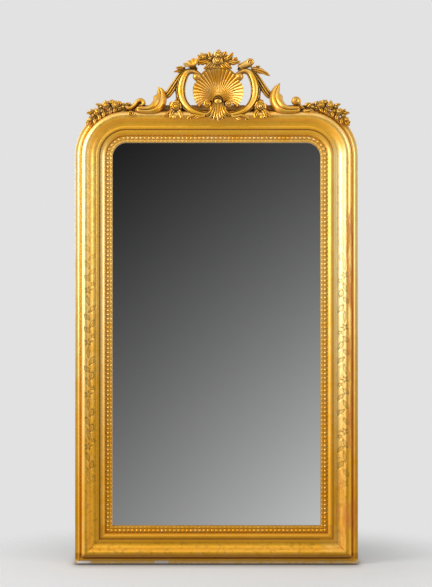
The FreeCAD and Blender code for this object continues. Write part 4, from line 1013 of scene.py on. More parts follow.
def lower_flower(name, sign):
    centre = spot(LOWER_FLOWER_SHARES, sign)
    parts = [blossom(name + "_bloom", centre, LOWER_FLOWER_RADIUS, LOWER_FLOWER_DEPTH, PETALS,
                     LOWER_FLOWER_TURN)]
    for (root, tip), bend_share in zip(LOWER_LEAF_SHARES, LOWER_BEND_SHARES):
        parts.append(leaf(name + "_leaf", spot(root, sign), spot(tip, sign), LOWER_LEAF, sign*bend_share))
    parts.append(ball(name + "_bud", spot(LOWER_BUD_SHARES, sign), LOWER_BUD_RADIUS))
    wire = limb_path(WIRE_SHARES, sign, WIRE, WIRE, WIRE_STEPS)
    parts.append(sweep(name + "_wire", wire, round_section(WIRE_COLUMNS)))
    return joined(name, parts)


TENDRIL_SHARES = (
    (0.135, -0.180, 0.70, 0.80, 0.80), (0.200, -0.225, 0.76, 1, 1), (0.280, -0.205, 0.74, 1, 1),
    (0.345, -0.225, 0.76, 0.90, 1), (0.375, -0.270, 0.78, 0.60, 0.80),
)
TENDRIL_WIDTH, TENDRIL_THICKNESS, TENDRIL_STEPS = 0.0105, 0.0090, 36
TENDRIL_CURL_SHARES, TENDRIL_LEAN = (0.352, -0.268, 0.76), 90
TENDRIL_COIL = Coil(90, 1.2, (0.0015, 0.0060), (0.0015, 0.0030), (0.0090, 0.0070), 26)
TENDRIL_LEAF_SHARES = ((0.21, -0.220, 0.74), (0.30, -0.280, 0.80))
TENDRIL_LEAF, TENDRIL_BEND_SHARE = Blade(0.0078, 0.0090, 0.25, SLIM), 0.12


def tendril(name, sign):
    path = limb_path(TENDRIL_SHARES, sign, TENDRIL_WIDTH, TENDRIL_THICKNESS, TENDRIL_STEPS)
    parts = [sweep(name + "_stem", path, round_section())]
    eye = spot(TENDRIL_CURL_SHARES, sign)
    parts.append(coil(name + "_curl", eye, TENDRIL_COIL, RIGHT, -sign*TENDRIL_LEAN))
    root, tip = [spot(station, sign) for station in TENDRIL_LEAF_SHARES]
    parts.append(leaf(name + "_leaf", root, tip, TENDRIL_LEAF, TENDRIL_BEND_SHARE))
    return joined(name, parts)


# The spray over the shell isn't quite even: blooms with their scales, then leaves with their roots and tips
SPRAY_BLOOM_SHARES = (
    (0.006, 0.880, 0.32, 0.78), (-0.005, 0.775, 0.34, 0.82), (-0.178, 0.848, 0.30, 0.66),
    (0.118, 0.815, 0.32, 0.52), (-0.095, 0.825, 0.32, 0.50), (0.205, 0.785, 0.28, 0.44),
    (-0.222, 0.765, 0.28, 0.46), (-0.120, 0.735, 0.36, 0.42), (0.120, 0.730, 0.36, 0.42),
)
SPRAY_LEAF_SHARES = (
    ((0.060, 0.800, 0.36), (0.185, 0.930, 0.42)), ((0.110, 0.790, 0.36), (0.275, 0.772, 0.42)),
    ((0.080, 0.765, 0.40), (0.172, 0.640, 0.50)), ((0.040, 0.740, 0.42), (0.098, 0.640, 0.52)),
    ((-0.080, 0.765, 0.40), (-0.178, 0.635, 0.50)), ((-0.040, 0.740, 0.42), (-0.102, 0.640, 0.52)),
    ((-0.120, 0.795, 0.36), (-0.272, 0.765, 0.42)), ((-0.055, 0.820, 0.36), (-0.118, 0.945, 0.42)),
    ((-0.150, 0.830, 0.36), (-0.255, 0.885, 0.40)), ((0.045, 0.840, 0.36), (0.095, 0.955, 0.40)),
    ((0.150, 0.790, 0.36), (0.235, 0.845, 0.40)),
)
SPRAY_BLOOM_RADIUS, SPRAY_BLOOM_DEPTH, SPRAY_BLOOM_TURN = 0.0255, 0.030, 0.4
SPRAY_LEAF, SPRAY_BEND_SHARE = Blade(0.0092, 0.0105, 0.10, FULL), 0.12


def top_spray(name):
    parts = []
    for number, station in enumerate(SPRAY_BLOOM_SHARES):
        scale = station[3]
        parts.append(blossom(name + "_bloom", spot(station, RIGHT), SPRAY_BLOOM_RADIUS*scale,
                             SPRAY_BLOOM_DEPTH*scale, PETALS + number % 2, SPRAY_BLOOM_TURN*number))
    for root, tip in SPRAY_LEAF_SHARES:
        bend = math.copysign(SPRAY_BEND_SHARE, tip[0])
        parts.append(leaf(name + "_leaf", spot(root, RIGHT), spot(tip, RIGHT), SPRAY_LEAF, bend))
    return joined(name, parts)


# Garlands over the rounded corners: a stem, blooms with their scales, and the roots and tips of the leaves
GARLAND_STEM_SHARES = (
    (1.020, -0.040, 0.34, 0.70, 0.80), (1.110, -0.085, 0.34, 1, 1), (1.230, -0.035, 0.32, 1, 1),
    (1.350, -0.055, 0.32, 1, 1), (1.470, -0.140, 0.32, 1, 1), (1.580, -0.290, 0.32, 0.70, 0.80),
)
GARLAND_BLOOM_SHARES = (
    (1.250, -0.010, 0.34, 0.90), (1.370, -0.015, 0.34, 0.88), (1.475, -0.130, 0.34, 0.86),
    (1.560, -0.265, 0.34, 0.66), (1.155, -0.040, 0.36, 0.62), (1.310, 0.040, 0.32, 0.62),
    (1.430, -0.040, 0.32, 0.66), (1.525, -0.190, 0.34, 0.62), (1.200, -0.060, 0.38, 0.52),
    (1.320, -0.085, 0.38, 0.58), (1.420, -0.120, 0.38, 0.55), (1.590, -0.310, 0.32, 0.48),
    (1.200, 0.020, 0.32, 0.50),
)
GARLAND_LEAF_SHARES = (
    ((1.090, -0.075, 0.36), (1.180, 0.020, 0.44)), ((1.120, -0.085, 0.36), (1.230, -0.150, 0.48)),
    ((1.300, -0.030, 0.38), (1.290, 0.095, 0.42)), ((1.310, -0.050, 0.38), (1.330, -0.180, 0.50)),
    ((1.420, -0.060, 0.38), (1.500, 0.010, 0.42)), ((1.430, -0.100, 0.38), (1.400, -0.240, 0.50)),
    ((1.520, -0.180, 0.38), (1.610, -0.150, 0.42)), ((1.540, -0.240, 0.38), (1.500, -0.360, 0.50)),
    ((1.200, -0.050, 0.38), (1.225, 0.070, 0.42)), ((1.560, -0.270, 0.36), (1.610, -0.370, 0.42)),
    ((1.370, -0.030, 0.38), (1.385, 0.080, 0.42)), ((1.470, -0.110, 0.38), (1.560, -0.075, 0.42)),
    ((1.230, -0.060, 0.40), (1.270, -0.150, 0.50)), ((1.470, -0.160, 0.40), (1.450, -0.290, 0.50)),
    ((1.060, -0.050, 0.36), (1.130, 0.030, 0.42)),
)
GARLAND_STEM_WIDTH, GARLAND_STEM_THICKNESS, GARLAND_STEM_STEPS = 0.008, 0.009, 50
GARLAND_BLOOM_RADIUS, GARLAND_BLOOM_DEPTH, GARLAND_BLOOM_TURN = 0.0175, 0.026, 0.35
GARLAND_DOUBLE_SCALE = 0.58
GARLAND_LEAF, GARLAND_BEND_SHARES = Blade(0.0075, 0.0095, 0.08, SLIM), (-0.14, 0.16)


def garland(name, sign):
    path = limb_path(GARLAND_STEM_SHARES, sign, GARLAND_STEM_WIDTH, GARLAND_STEM_THICKNESS,
                     GARLAND_STEM_STEPS)
    parts = [sweep(name + "_stem", path, round_section())]
    for number, station in enumerate(GARLAND_BLOOM_SHARES):
        scale = station[3]
        tiers = 2 if scale > GARLAND_DOUBLE_SCALE else 1
        parts.append(blossom(name + "_bloom", spot(station, sign), GARLAND_BLOOM_RADIUS*scale,
                             GARLAND_BLOOM_DEPTH*scale, PETALS, GARLAND_BLOOM_TURN*number, tiers))
    for number, (root, tip) in enumerate(GARLAND_LEAF_SHARES):
        bend = sign*GARLAND_BEND_SHARES[number % 2]
        parts.append(leaf(name + "_leaf", spot(root, sign), spot(tip, sign), GARLAND_LEAF, bend))
    return joined(name, parts)


carvings = {"shell": shell(), "palmette": palmette(), "top_spray": top_spray("carved_spray")}
compositions = {}
for side, sign in SIDES:
    carvings[f"c_scroll_{side}"] = c_scroll(f"carved_scroll_{side}", sign)
    carvings[f"acanthus_{side}"] = acanthus(f"carved_acanthus_{side}", sign)
    carvings[f"strap_{side}"] = strap(f"carved_strap_{side}", sign)
    carvings[f"shoulder_leaf_{side}"] = shoulder_leaf(f"carved_shoulder_{side}", sign)
    carvings[f"bud_{side}"] = bud(f"carved_bud_{side}", sign)
    curl = ball_curl if sign == RIGHT else ribbon_curl
    carvings[f"root_curl_{side}"] = curl(f"carved_curl_{side}", sign)
    carvings[f"flower_{side}"] = lower_flower(f"carved_flower_{side}", sign)
    carvings[f"tendril_{side}"] = tendril(f"carved_tendril_{side}", sign)
    compositions[f"garland_{side}"] = garland(f"cast_garland_{side}", sign)

# Shelter of every carved point, for soiling and painted shade in the hollows
SHELTER_RAYS, SHELTER_REACH, SHELTER_LIFT = 10, 0.030, 0.0008
SHELL_DIRT_AND_SHADE_SHARE = 0.70


def rays(count):
    """Directions spread evenly over a half sphere about +Z."""
    golden = math.pi*(3 - math.sqrt(5))
    made = []
    for number in range(count):
        height = (number + 0.5)/count
        reach = math.sqrt(1 - height**2)
        made.append((reach*math.cos(golden*number), reach*math.sin(golden*number), height))
    return np.array(made)


def solids_of(pieces):
    verts, faces = [], []
    for piece in pieces:
        base = len(verts)
        verts += [vertex.co[:] for vertex in piece.data.vertices]
        faces += [[index + base for index in face.vertices] for face in piece.data.polygons]
    return BVHTree.FromPolygons(verts, faces)


def shelter(piece, around, share):
    """Marks how far each point is closed in by what stands round it."""
    fan = rays(SHELTER_RAYS)
    amounts = []
    for vertex in piece.data.vertices:
        turn = np.array(vertex.normal.to_track_quat("Z", "Y").to_matrix())
        start = vertex.co + vertex.normal*SHELTER_LIFT
        blocked = 0.0
        for direction in fan @ turn.T:
            distance = around.ray_cast(start, Vector(direction), SHELTER_REACH)[3]
            if distance is not None:
                blocked += 1 - distance/SHELTER_REACH
        amounts.append(share*blocked/SHELTER_RAYS)
    mark(piece, "hollow", amounts)


crest = list(carvings.values()) + list(compositions.values())
crest_solids = solids_of(crest + [mouldings["moulding_top"]])
for piece in crest:
    shelter(piece, crest_solids, SHELL_DIRT_AND_SHADE_SHARE if piece == carvings["shell"] else 1)


# Materials
class Tone:
    """A value on its way through a material; sums of tones add the nodes that work them out."""

    def __init__(self, tree, socket=None):
        self.tree = tree
        self.socket = socket

    def add(self, kind, settings=None, inputs=None, output=0):
        """Adds any node: its settings first, then the values or links of its sockets."""
        node = self.tree.nodes.new(kind)
        for name, value in (settings or {}).items():
            setattr(node, name, value)
        for name, value in (inputs or {}).items():
            if isinstance(value, Tone):
                self.tree.links.new(value.socket, node.inputs[name])
            else:
                node.inputs[name].default_value = value
        return Tone(self.tree, node.outputs[output] if node.outputs else None)

    def out(self, name):
        return Tone(self.tree, self.socket.node.outputs[name])

    def sum(self, operation, first, second=0.0):
        return self.add("ShaderNodeMath", {"operation": operation}, {0: first, 1: second})

    def __add__(self, other):
        return self.sum("ADD", self, other)

    def __sub__(self, other):
        return self.sum("SUBTRACT", self, other)

    def __rsub__(self, other):
        return self.sum("SUBTRACT", other, self)

    def __mul__(self, other):
        return self.sum("MULTIPLY", self, other)

    def __truediv__(self, other):
        return self.sum("DIVIDE", self, other)

    def __pow__(self, other):
        return self.sum("POWER", self, other)

    def __abs__(self):
        return self.sum("ABSOLUTE", self)

    def at_least(self, other):
        return self.sum("MAXIMUM", self, other)

    def at_most(self, other):
        return self.sum("MINIMUM", self, other)

    def clamped(self):
        return self.at_least(0.0).at_most(1.0)

    def swing(self, amount):
        """A noise made to swing about zero."""
        return (self - 0.5)*amount

    def step(self, low, high):
        return self.add("ShaderNodeMapRange", {"interpolation_type": "SMOOTHSTEP"},
                        {"Value": self, "From Min": low, "From Max": high})

    def within(self, low, high, soft):
        return self.step(low - soft, low + soft)*(1 - self.step(high - soft, high + soft))

    def noise(self, scale, detail=3.0, roughness=0.55):
        return self.add("ShaderNodeTexNoise", None, {
            "Vector": self, "Scale": scale, "Detail": detail, "Roughness": roughness})

    def stretched(self, scale):
        return self.add("ShaderNodeMapping", None, {"Vector": self, "Scale": scale})

    def axes(self):
        parts = self.add("ShaderNodeSeparateXYZ", None, {0: self})
        return [parts.out(axis) for axis in "XYZ"]

    def mark(self, name):
        return self.add("ShaderNodeAttribute", {"attribute_name": name}, None, "Fac")

    def mix(self, first, second, share):
        return self.add("ShaderNodeMix", {"data_type": "RGBA"}, {0: share, 6: first, 7: second}, 2)

    __radd__ = __add__
    __rmul__ = __mul__


def new_material(name):
    """An empty material, its paint and the places on the piece that wears it."""
    made = bpy.data.materials.new(name)
    made.use_nodes = True
    made.node_tree.nodes.clear()
    paint = Tone(made.node_tree)
    return made, paint, paint.add("ShaderNodeTexCoord", None, None, "Object")


def bumped(paint, strength, distance, relief):
    return paint.add("ShaderNodeBump", None, {"Strength": strength, "Distance": distance, "Height": relief})


def finished(made, paint, inputs):
    shader = paint.add("ShaderNodeBsdfPrincipled", None, inputs)
    paint.add("ShaderNodeOutputMaterial", None, {"Surface": shader})
    return made


def colour(red, green, blue):
    return (red, green, blue, 1.0)


PALE_GOLD = colour(1.0, 0.78, 0.35)
YELLOW_GOLD = colour(0.94, 0.555, 0.075)
DEEP_GOLD = colour(0.78, 0.375, 0.014)
# Painted shade: a dark gold for the underside, the bottom rail's inner face and the shell, and an orange gold
# for the top rail
SHADE_GOLD = colour(0.50, 0.20, 0.008)
ORANGE_GOLD = colour(1.0, 0.50, 0.028)
# A dark brown for soiling and painted shade in the hollows
GRIME_AND_SHADE_BROWN = colour(0.10, 0.036, 0.003)
# An olive for painted shade in the engraved cuts and the mottled band
OLIVE_SHADE = colour(0.13, 0.075, 0.008)
RED_BOLE = colour(0.60, 0.20, 0.018)
GESSO = colour(0.80, 0.75, 0.66)

# Noises of the gilding, as scale, detail and roughness
CLOUDS, PATCHES, GRAIN = (7.0, 4.0), (26.0, 5.0, 0.6), (210.0, 3.0)
RUBBING, MOTTLE, TOOLING = (15.0, 6.0, 0.62), (75.0, 4.0, 0.6), (95.0, 3.0)
STREAKS, STREAK_STRETCH = (1.0, 5.0, 0.65), (60.0, 60.0, 11.0)
GILT_RELIEF, TOOLING_SHARE, MOULDING_BUMP, CARVING_BUMP = 0.0006, 0.6, 0.10, 0.25

# Heights between which painted light makes the gold paler, in metres, and where the top rail is painted
# darker again
LIT_RANGE, DIM_RANGE, DIM_SHARE = (0.15, 1.10), (SIDE, TOP - MOULDING/2), 0.75

# Bands across the moulding: where each starts and ends, in from the edge, and how softly, in metres
TORUS = (-0.0100, 0.0175, 0.0020)
CROWN = (0.0225, 0.0380, 0.0060)
CROWN_SLOPE = (0.0410, 0.0520, 0.0030)
MOTTLED_BAND = (0.0340, 0.0700, 0.0040)
RIGHT_HIGHLIGHT = (0.0400, 0.0770, 0.0050)
RIDGE = (0.0730, 0.0830, 0.0020)
INNER_FACE = (0.0810, 0.0940, 0.0030)
INNER_EDGE = (0.0945, 0.1000, 0.0015)
INNER_SHADE = (0.0810, 0.0980, 0.0030)
# Where the top rail is painted more orange, as shade
TOP_SHADE_BAND = (0.0420, 0.0980, 0.0040)
UNDERSIDE_END = (0.0360, 0.0400)

# Places on the frame, across and up, in metres; the top rail starts at shares of its corner
TOP_RAIL_SHARES = (-0.1, 0.5)
TOP_RAIL_RANGE = tuple(SIDE + share*CORNER for share in TOP_RAIL_SHARES)
RIGHT_STILE_RANGE = (HALF_WIDTH - MOULDING - 0.007, HALF_WIDTH - MOULDING + 0.003)
BOTTOM_RAIL_RANGE = (MOULDING, MOULDING + 0.012)
BASE_EDGE_RANGE = (0.0105, 0.0125)
# Where the underside of the bottom rail is painted darker, as shade
UNDERSIDE = (0.0145, 0.0340, 0.0030)
# Where the crest's painted shadow lies on the top rail
CREST_SHADE_UP, CREST_SHADE_ACROSS = (TOP - 0.024, TOP - 0.016), (-0.27, 0.28, 0.03)
RUBBED_ACROSS, RUBBED_UP = (HALF_WIDTH - 0.039, HALF_WIDTH - 0.017, 0.004), (0.36, 1.14, 0.12)
FOOT_ACROSS, FOOT_UP = (HALF_WIDTH - 0.08, HALF_WIDTH + 0.01, 0.01), (0.02, 0.30, 0.10)
LEFT_EDGE_ACROSS = (-HALF_WIDTH - 0.01, -HALF_WIDTH + 0.01, 0.004)
CHIPS_ACROSS = (
    (0.006 - HALF_WIDTH, 0.051 - HALF_WIDTH, 0.003),
    (0.254 - HALF_WIDTH, 0.297 - HALF_WIDTH, 0.003),
)
CHIP_RANGE, FRAYED_RANGE = (0.0075, 0.0095), (0.0020, 0.0045)
MITRE_CRACK, MITRE_RANGE = (-0.0010, 0.0010, 0.0008), (MOULDING, MOULDING + 0.002)
# Where the shell is painted darker high up, as shade
SHELL_SHADE_ACROSS, SHELL_SHADE_UP = (-0.075, 0.075, 0.015), (TOP + 0.070, TOP + 0.118, 0.022)

Leafing = namedtuple("Leafing", "made paint place across height cloud patch grain hollow lit")


def leafing(name):
    """What both gildings share: the material, its places, the leaf's clouds and grain, and its painted light.
    """
    made, paint, place = new_material(name)
    across, _, height = place.axes()
    # Painted light: paler gold up the stiles, painted darker again on the top rail
    lit = height.step(*LIT_RANGE)*(1 - height.step(*DIM_RANGE)*DIM_SHARE)
    return Leafing(made, paint, place, across, height, place.noise(*CLOUDS), place.noise(*PATCHES),
                   place.noise(*GRAIN), paint.mark("hollow"), lit)


# Tone of the leaf: its yellow at the foot, what the painted light and the clouds add, and how pale the
# painted light makes it
GOLDEN_LEAST, GOLDEN_LIT, GOLDEN_SWING, PALE_LIT = 0.02, 0.62, 0.8, 0.30

# Soiling and painted shade: how much the hollows and the patches hold, where they show, and their share over
# the gold
MOULDING_HOLLOW, CARVING_HOLLOW, PATCH_SWING, GRIME_AND_SHADE_STEP = 1.7, 2.4, 0.7, (0.34, 1.10)
MOULDING_GRIME_AND_SHADE, CARVING_GRIME_AND_SHADE, BOLE_SHARE = 0.64, 0.90, 0.82

# Shine of clean leaf, and what soiling with painted shade, wear, grain and clouds do to it
LEAF_METAL, GRIME_AND_SHADE_DULLS, WEAR_DULLS = 0.86, 0.30, 0.25
LEAF_ROUGH, GRIME_AND_SHADE_ROUGH, WEAR_ROUGH, GRAIN_ROUGH, CLOUD_ROUGH = 0.40, 0.20, 0.15, 0.10, 0.12
COAT, COAT_ROUGH = 0.25, 0.16


def leaf_tone(gilt, pale):
    """Cloudy gold, deep at the foot and yellow above as painted light, and pale by the share it is given,
    such as the polished bands.
    """
    golden = (GOLDEN_LEAST + gilt.lit*GOLDEN_LIT + gilt.cloud.swing(GOLDEN_SWING)).clamped()
    tone = gilt.paint.mix(DEEP_GOLD, YELLOW_GOLD, golden)
    return gilt.paint.mix(tone, PALE_GOLD, pale)


# Soiling and painted shade gather by the hollow mark and the patches
def settled_grime_and_shade(gilt, held):
    return (gilt.hollow*held + gilt.patch.swing(PATCH_SWING)).step(*GRIME_AND_SHADE_STEP)


def worn_leaf(gilt, tone, grime_and_shade, grime_and_shade_share, worn):
    """Soiling and painted shade over the tone and red bole where the leaf has rubbed through, with their
    shine.
    """
    tone = gilt.paint.mix(tone, GRIME_AND_SHADE_BROWN, grime_and_shade*grime_and_shade_share)
    tone = gilt.paint.mix(tone, RED_BOLE, worn*BOLE_SHARE)
    metal = LEAF_METAL - grime_and_shade*GRIME_AND_SHADE_DULLS - worn*WEAR_DULLS
    rough = LEAF_ROUGH + gilt.grain.swing(GRAIN_ROUGH) + grime_and_shade*GRIME_AND_SHADE_ROUGH + worn*WEAR_ROUGH
    return tone, metal, rough + gilt.cloud.swing(CLOUD_ROUGH)


def gilded(gilt, tone, metal, rough, bump_strength):
    relief = gilt.place.noise(*TOOLING)*TOOLING_SHARE + gilt.grain*(1 - TOOLING_SHARE)
    normal = bumped(gilt.paint, bump_strength, GILT_RELIEF, relief)
    return finished(gilt.made, gilt.paint, {
        "Base Color": tone, "Metallic": metal, "Roughness": rough, "Normal": normal,
        "Coat Weight": COAT, "Coat Roughness": COAT_ROUGH})


# Burnish and painted highlights of the moulding's bands, how much darker the right stile is painted there,
# and how pale they make the gold
CROWN_BURNISH, INNER_BURNISH, BASE_BURNISH, TORUS_BURNISH = 0.80, 0.60, 0.9, 0.45
RIGHT_CROWN_SHADED, RIGHT_INNER_SHADED = 0.75, 0.55
BURNISH_LEAST, BURNISH_LIT, PALE_FROM, PALE_SWING = 0.22, 0.85, 0.08, 0.6

# Painted shade in the channel along the inner edge, soiling in the mitre's crack, and how much of the soiling
# and painted shade the right stile's ridge is spared, as painted light
CHANNEL_SHADE, CRACK_GRIME, RIDGE_LIGHTER = 0.28, 0.8, 0.6

# Wear: what the foot and the left edge get of it, then where the streaks break through
FOOT_WEAR, LEFT_EDGE_WEAR = 0.75, 0.50
WEAR_LEVEL, WEAR_SWING, WEAR_STEP, WEAR_EDGE_STEP = 0.56, 1.9, (0.30, 0.62), (0.1, 0.5)
CHIP_LIFT, CHIP_STEP = 0.35, (0.55, 0.62)
FRAYED_LIFT, FRAYED_STEP, FRAYED_SHARE = 0.20, (0.60, 0.75), 0.55

# Shares of the other tones over the gold, mostly painted shade
ENGRAVED_SHARE, MOTTLE_STEP, MOTTLE_SHARE, MOTTLE_LIT_SHARE = 0.85, (0.50, 0.68), 0.36, 0.20
UNDERSIDE_LIFT, UNDERSIDE_SHARE, INNER_SHADE_SHARE, TOP_SHADE_SHARE = 0.45, 0.85, 0.40, 0.65

# What dulls the moulding: its base edge, the slope of its crown, the top rail and bare gesso
BASE_DULLS, SLOPE_DULLS, TOP_DULLS, SLOPE_ROUGH, CHIP_ROUGH = 0.50, 0.30, 0.12, 0.16, 0.4


Places = namedtuple("Places", "inward streak top right bottom base")


def moulding_places(gilt):
    """Where a point lies on the moulding and the frame, with the streaks that run along it."""
    top = gilt.height.step(*TOP_RAIL_RANGE)
    return Places(
        gilt.paint.mark("inward"), gilt.place.stretched(STREAK_STRETCH).noise(*STREAKS), top,
        gilt.across.step(*RIGHT_STILE_RANGE)*(1 - top), 1 - gilt.height.step(*BOTTOM_RAIL_RANGE),
        1 - gilt.height.step(*BASE_EDGE_RANGE))


def burnish_and_highlights(gilt, on):
    """How pale the polished bands and the painted highlights make the gold, with a painted highlight on the
    right stile's cove.
    """
    # Painted highlights on the crown, torus and base edge; the right stile is painted darker on its crown and
    # inner face
    crown = on.inward.within(*CROWN)*(1 - on.right*RIGHT_CROWN_SHADED)
    crown = crown + on.inward.within(*RIGHT_HIGHLIGHT)*on.right
    inner = on.inward.within(*INNER_FACE)*(INNER_BURNISH - on.right*RIGHT_INNER_SHADED)
    inner = inner*(1 - on.bottom)*(1 - on.top)
    polish_and_highlight = crown*CROWN_BURNISH + inner + on.base*BASE_BURNISH + on.inward.within(*TORUS)*TORUS_BURNISH
    pale = polish_and_highlight*(BURNISH_LEAST + gilt.lit*BURNISH_LIT) + gilt.lit*PALE_LIT - PALE_FROM
    return (pale + gilt.patch.swing(PALE_SWING)).clamped()


def moulding_grime_and_shade(gilt, on):
    """Soiling and painted shade in the hollows, a painted shadow under the crest, painted shade along the
    inner edge, and soiling in the mitres.
    """
    crest_shadow = gilt.height.step(*CREST_SHADE_UP)*gilt.across.within(*CREST_SHADE_ACROSS)
    mitre = (abs(gilt.across) + gilt.height - HALF_WIDTH).within(*MITRE_CRACK)
    crack = mitre*(1 - gilt.height.step(*MITRE_RANGE))
    grime_and_shade = settled_grime_and_shade(gilt, MOULDING_HOLLOW).at_least(crest_shadow)
    grime_and_shade = grime_and_shade.at_least(on.inward.within(*INNER_EDGE)*CHANNEL_SHADE)
    return (grime_and_shade*(1 - on.right*on.inward.within(*RIDGE)*RIDGE_LIGHTER)).at_least(crack*CRACK_GRIME)


def rubbed_through(gilt, on):
    """Where the leaf has rubbed through to the bole: on the right stile, at its foot and on the left edge."""
    rubbed = gilt.across.within(*RUBBED_ACROSS)*gilt.height.within(*RUBBED_UP)
    foot = gilt.across.within(*FOOT_ACROSS)*gilt.height.within(*FOOT_UP)*FOOT_WEAR
    region = (rubbed + foot + gilt.across.within(*LEFT_EDGE_ACROSS)*LEFT_EDGE_WEAR).at_most(1.0)
    streaks = region*WEAR_LEVEL + on.streak.swing(WEAR_SWING)
    return streaks.step(*WEAR_STEP)*region.step(*WEAR_EDGE_STEP)


def bare_gesso(gilt, on):
    """Chips in the foot and the frayed bottom edge."""
    chips = gilt.across.within(*CHIPS_ACROSS[0]) + gilt.across.within(*CHIPS_ACROSS[1])
    chips = chips*(1 - gilt.height.step(*CHIP_RANGE))*(gilt.patch + CHIP_LIFT).step(*CHIP_STEP)
    frayed = (1 - gilt.height.step(*FRAYED_RANGE))*(on.streak + FRAYED_LIFT).step(*FRAYED_STEP)
    return chips.at_least(frayed*FRAYED_SHARE)


def shaded(gilt, on, tone):
    """The tone with painted shade in its engraved vine and olive mottles over its band, fainter where the
    light is painted, painted shade on the underside and the bottom rail's inner face, and a more orange
    painted shade on the top rail.
    """
    mottle = gilt.place.noise(*MOTTLE).step(*MOTTLE_STEP)*on.inward.within(*MOTTLED_BAND)
    mottle = mottle*(MOTTLE_SHARE - gilt.lit*MOTTLE_LIT_SHARE)
    tone = gilt.paint.mix(tone, OLIVE_SHADE, (gilt.paint.mark("engraved")*ENGRAVED_SHARE).at_least(mottle))
    underside = gilt.height.within(*UNDERSIDE)*(1 - on.inward.step(*UNDERSIDE_END))
    underside = (underside*(on.streak + UNDERSIDE_LIFT)).at_most(1.0)
    tone = gilt.paint.mix(tone, SHADE_GOLD, underside*UNDERSIDE_SHARE)
    tone = gilt.paint.mix(tone, SHADE_GOLD, on.inward.within(*INNER_SHADE)*on.bottom*INNER_SHADE_SHARE)
    return gilt.paint.mix(tone, ORANGE_GOLD, on.inward.within(*TOP_SHADE_BAND)*on.top*TOP_SHADE_SHARE)


def moulding_gilding():
    """Water gilding on the moulding: polished bands with painted highlights and shade, engraved lines, rubbed
    bole and chipped gesso.
    """
    gilt = leafing("gilt_moulding")
    on = moulding_places(gilt)
    tone = shaded(gilt, on, leaf_tone(gilt, burnish_and_highlights(gilt, on)))
    grime_and_shade, worn, chips = moulding_grime_and_shade(gilt, on), rubbed_through(gilt, on), bare_gesso(gilt, on)
    tone, metal, rough = worn_leaf(gilt, tone, grime_and_shade, MOULDING_GRIME_AND_SHADE, worn)
    tone = gilt.paint.mix(tone, GESSO, chips)
    slope = on.inward.within(*CROWN_SLOPE)
    metal = (metal - on.base*BASE_DULLS - slope*SLOPE_DULLS - on.top*TOP_DULLS)*(1 - chips)
    return gilded(gilt, tone, metal, rough + chips*CHIP_ROUGH + slope*SLOPE_ROUGH, MOULDING_BUMP)


# On the carving: the patches that go pale, with the painted light, the painted shade high on the shell, and
# the rubbed spots
CARVED_PALE_FROM, CARVED_PALE_RISE, SHELL_SHADE_SHARE = 0.46, 1.2, 0.55
RUBBED_SWING, RUBBED_STEP, RUBBED_SHARE = 0.10, (0.655, 0.70), 0.5


def carving_gilding():
    """Oil gilding on carving and pearls: soiling and painted shade in the hollows, rubbed spots, painted
    shade high on the shell.
    """
    gilt = leafing("gilt_carving")
    pale = (gilt.patch - CARVED_PALE_FROM)*CARVED_PALE_RISE + gilt.lit*PALE_LIT
    shell_shade = (gilt.across - CREST_SHIFT).within(*SHELL_SHADE_ACROSS)*gilt.height.within(*SHELL_SHADE_UP)
    rubbed = (gilt.place.noise(*RUBBING) + gilt.grain.swing(RUBBED_SWING)).step(*RUBBED_STEP)*RUBBED_SHARE
    tone = gilt.paint.mix(leaf_tone(gilt, pale.clamped()), SHADE_GOLD, shell_shade*SHELL_SHADE_SHARE)
    grime_and_shade = settled_grime_and_shade(gilt, CARVING_HOLLOW)
    tone, metal, rough = worn_leaf(gilt, tone, grime_and_shade, CARVING_GRIME_AND_SHADE, rubbed)
    return gilded(gilt, tone, metal, rough, CARVING_BUMP)


CLEAR_SILVER, BLOOMED_SILVER = colour(0.86, 0.87, 0.86), colour(0.82, 0.83, 0.83)
BLOOM_SCALE, SILVER_ROUGH, BLOOM_ROUGH = 3.0, 0.006, 0.012


def silvered_glass():
    """Old plate silvered behind: nearly clean, with a faint bloom."""
    made, paint, place = new_material("silvered_glass")
    bloom = place.noise(BLOOM_SCALE)
    tone = paint.mix(CLEAR_SILVER, BLOOMED_SILVER, bloom)
    rough = SILVER_ROUGH + bloom*BLOOM_ROUGH
    return finished(made, paint, {"Base Color": tone, "Metallic": 1.0, "Roughness": rough})


# Timber: noises as scale, detail and roughness, where the rings and the stains show, and the saw's roughness
PINE, PINE_GRAIN = colour(0.36, 0.22, 0.11), colour(0.20, 0.11, 0.05)
BOARD, BOARD_GRAIN = colour(0.30, 0.19, 0.10), colour(0.17, 0.10, 0.05)
OLD_STAIN = colour(0.10, 0.065, 0.035)
PINE_SCALE, BOARD_SCALE, GRAIN_STRETCH_SHARE = 30.0, 22.0, 0.06
ACROSS_AXIS, UP_AXIS = 0, 2
RINGS, FIGURE, SAW_MARKS, STAINS = (3.2, 6.0, 0.65), 1.3, (320.0, 2.0), (4.5, 5.0, 0.6)
FIGURE_SHARE, RING_STEP, RING_RELIEF_SHARE = 0.6, (0.55, 1.05), 0.6
STAIN_FROM, STAIN_RISE, TIMBER_ROUGH, SAW_ROUGH, SAW_BUMP, SAW_RELIEF = 0.35, 0.9, 0.72, 0.2, 0.35, 0.0006


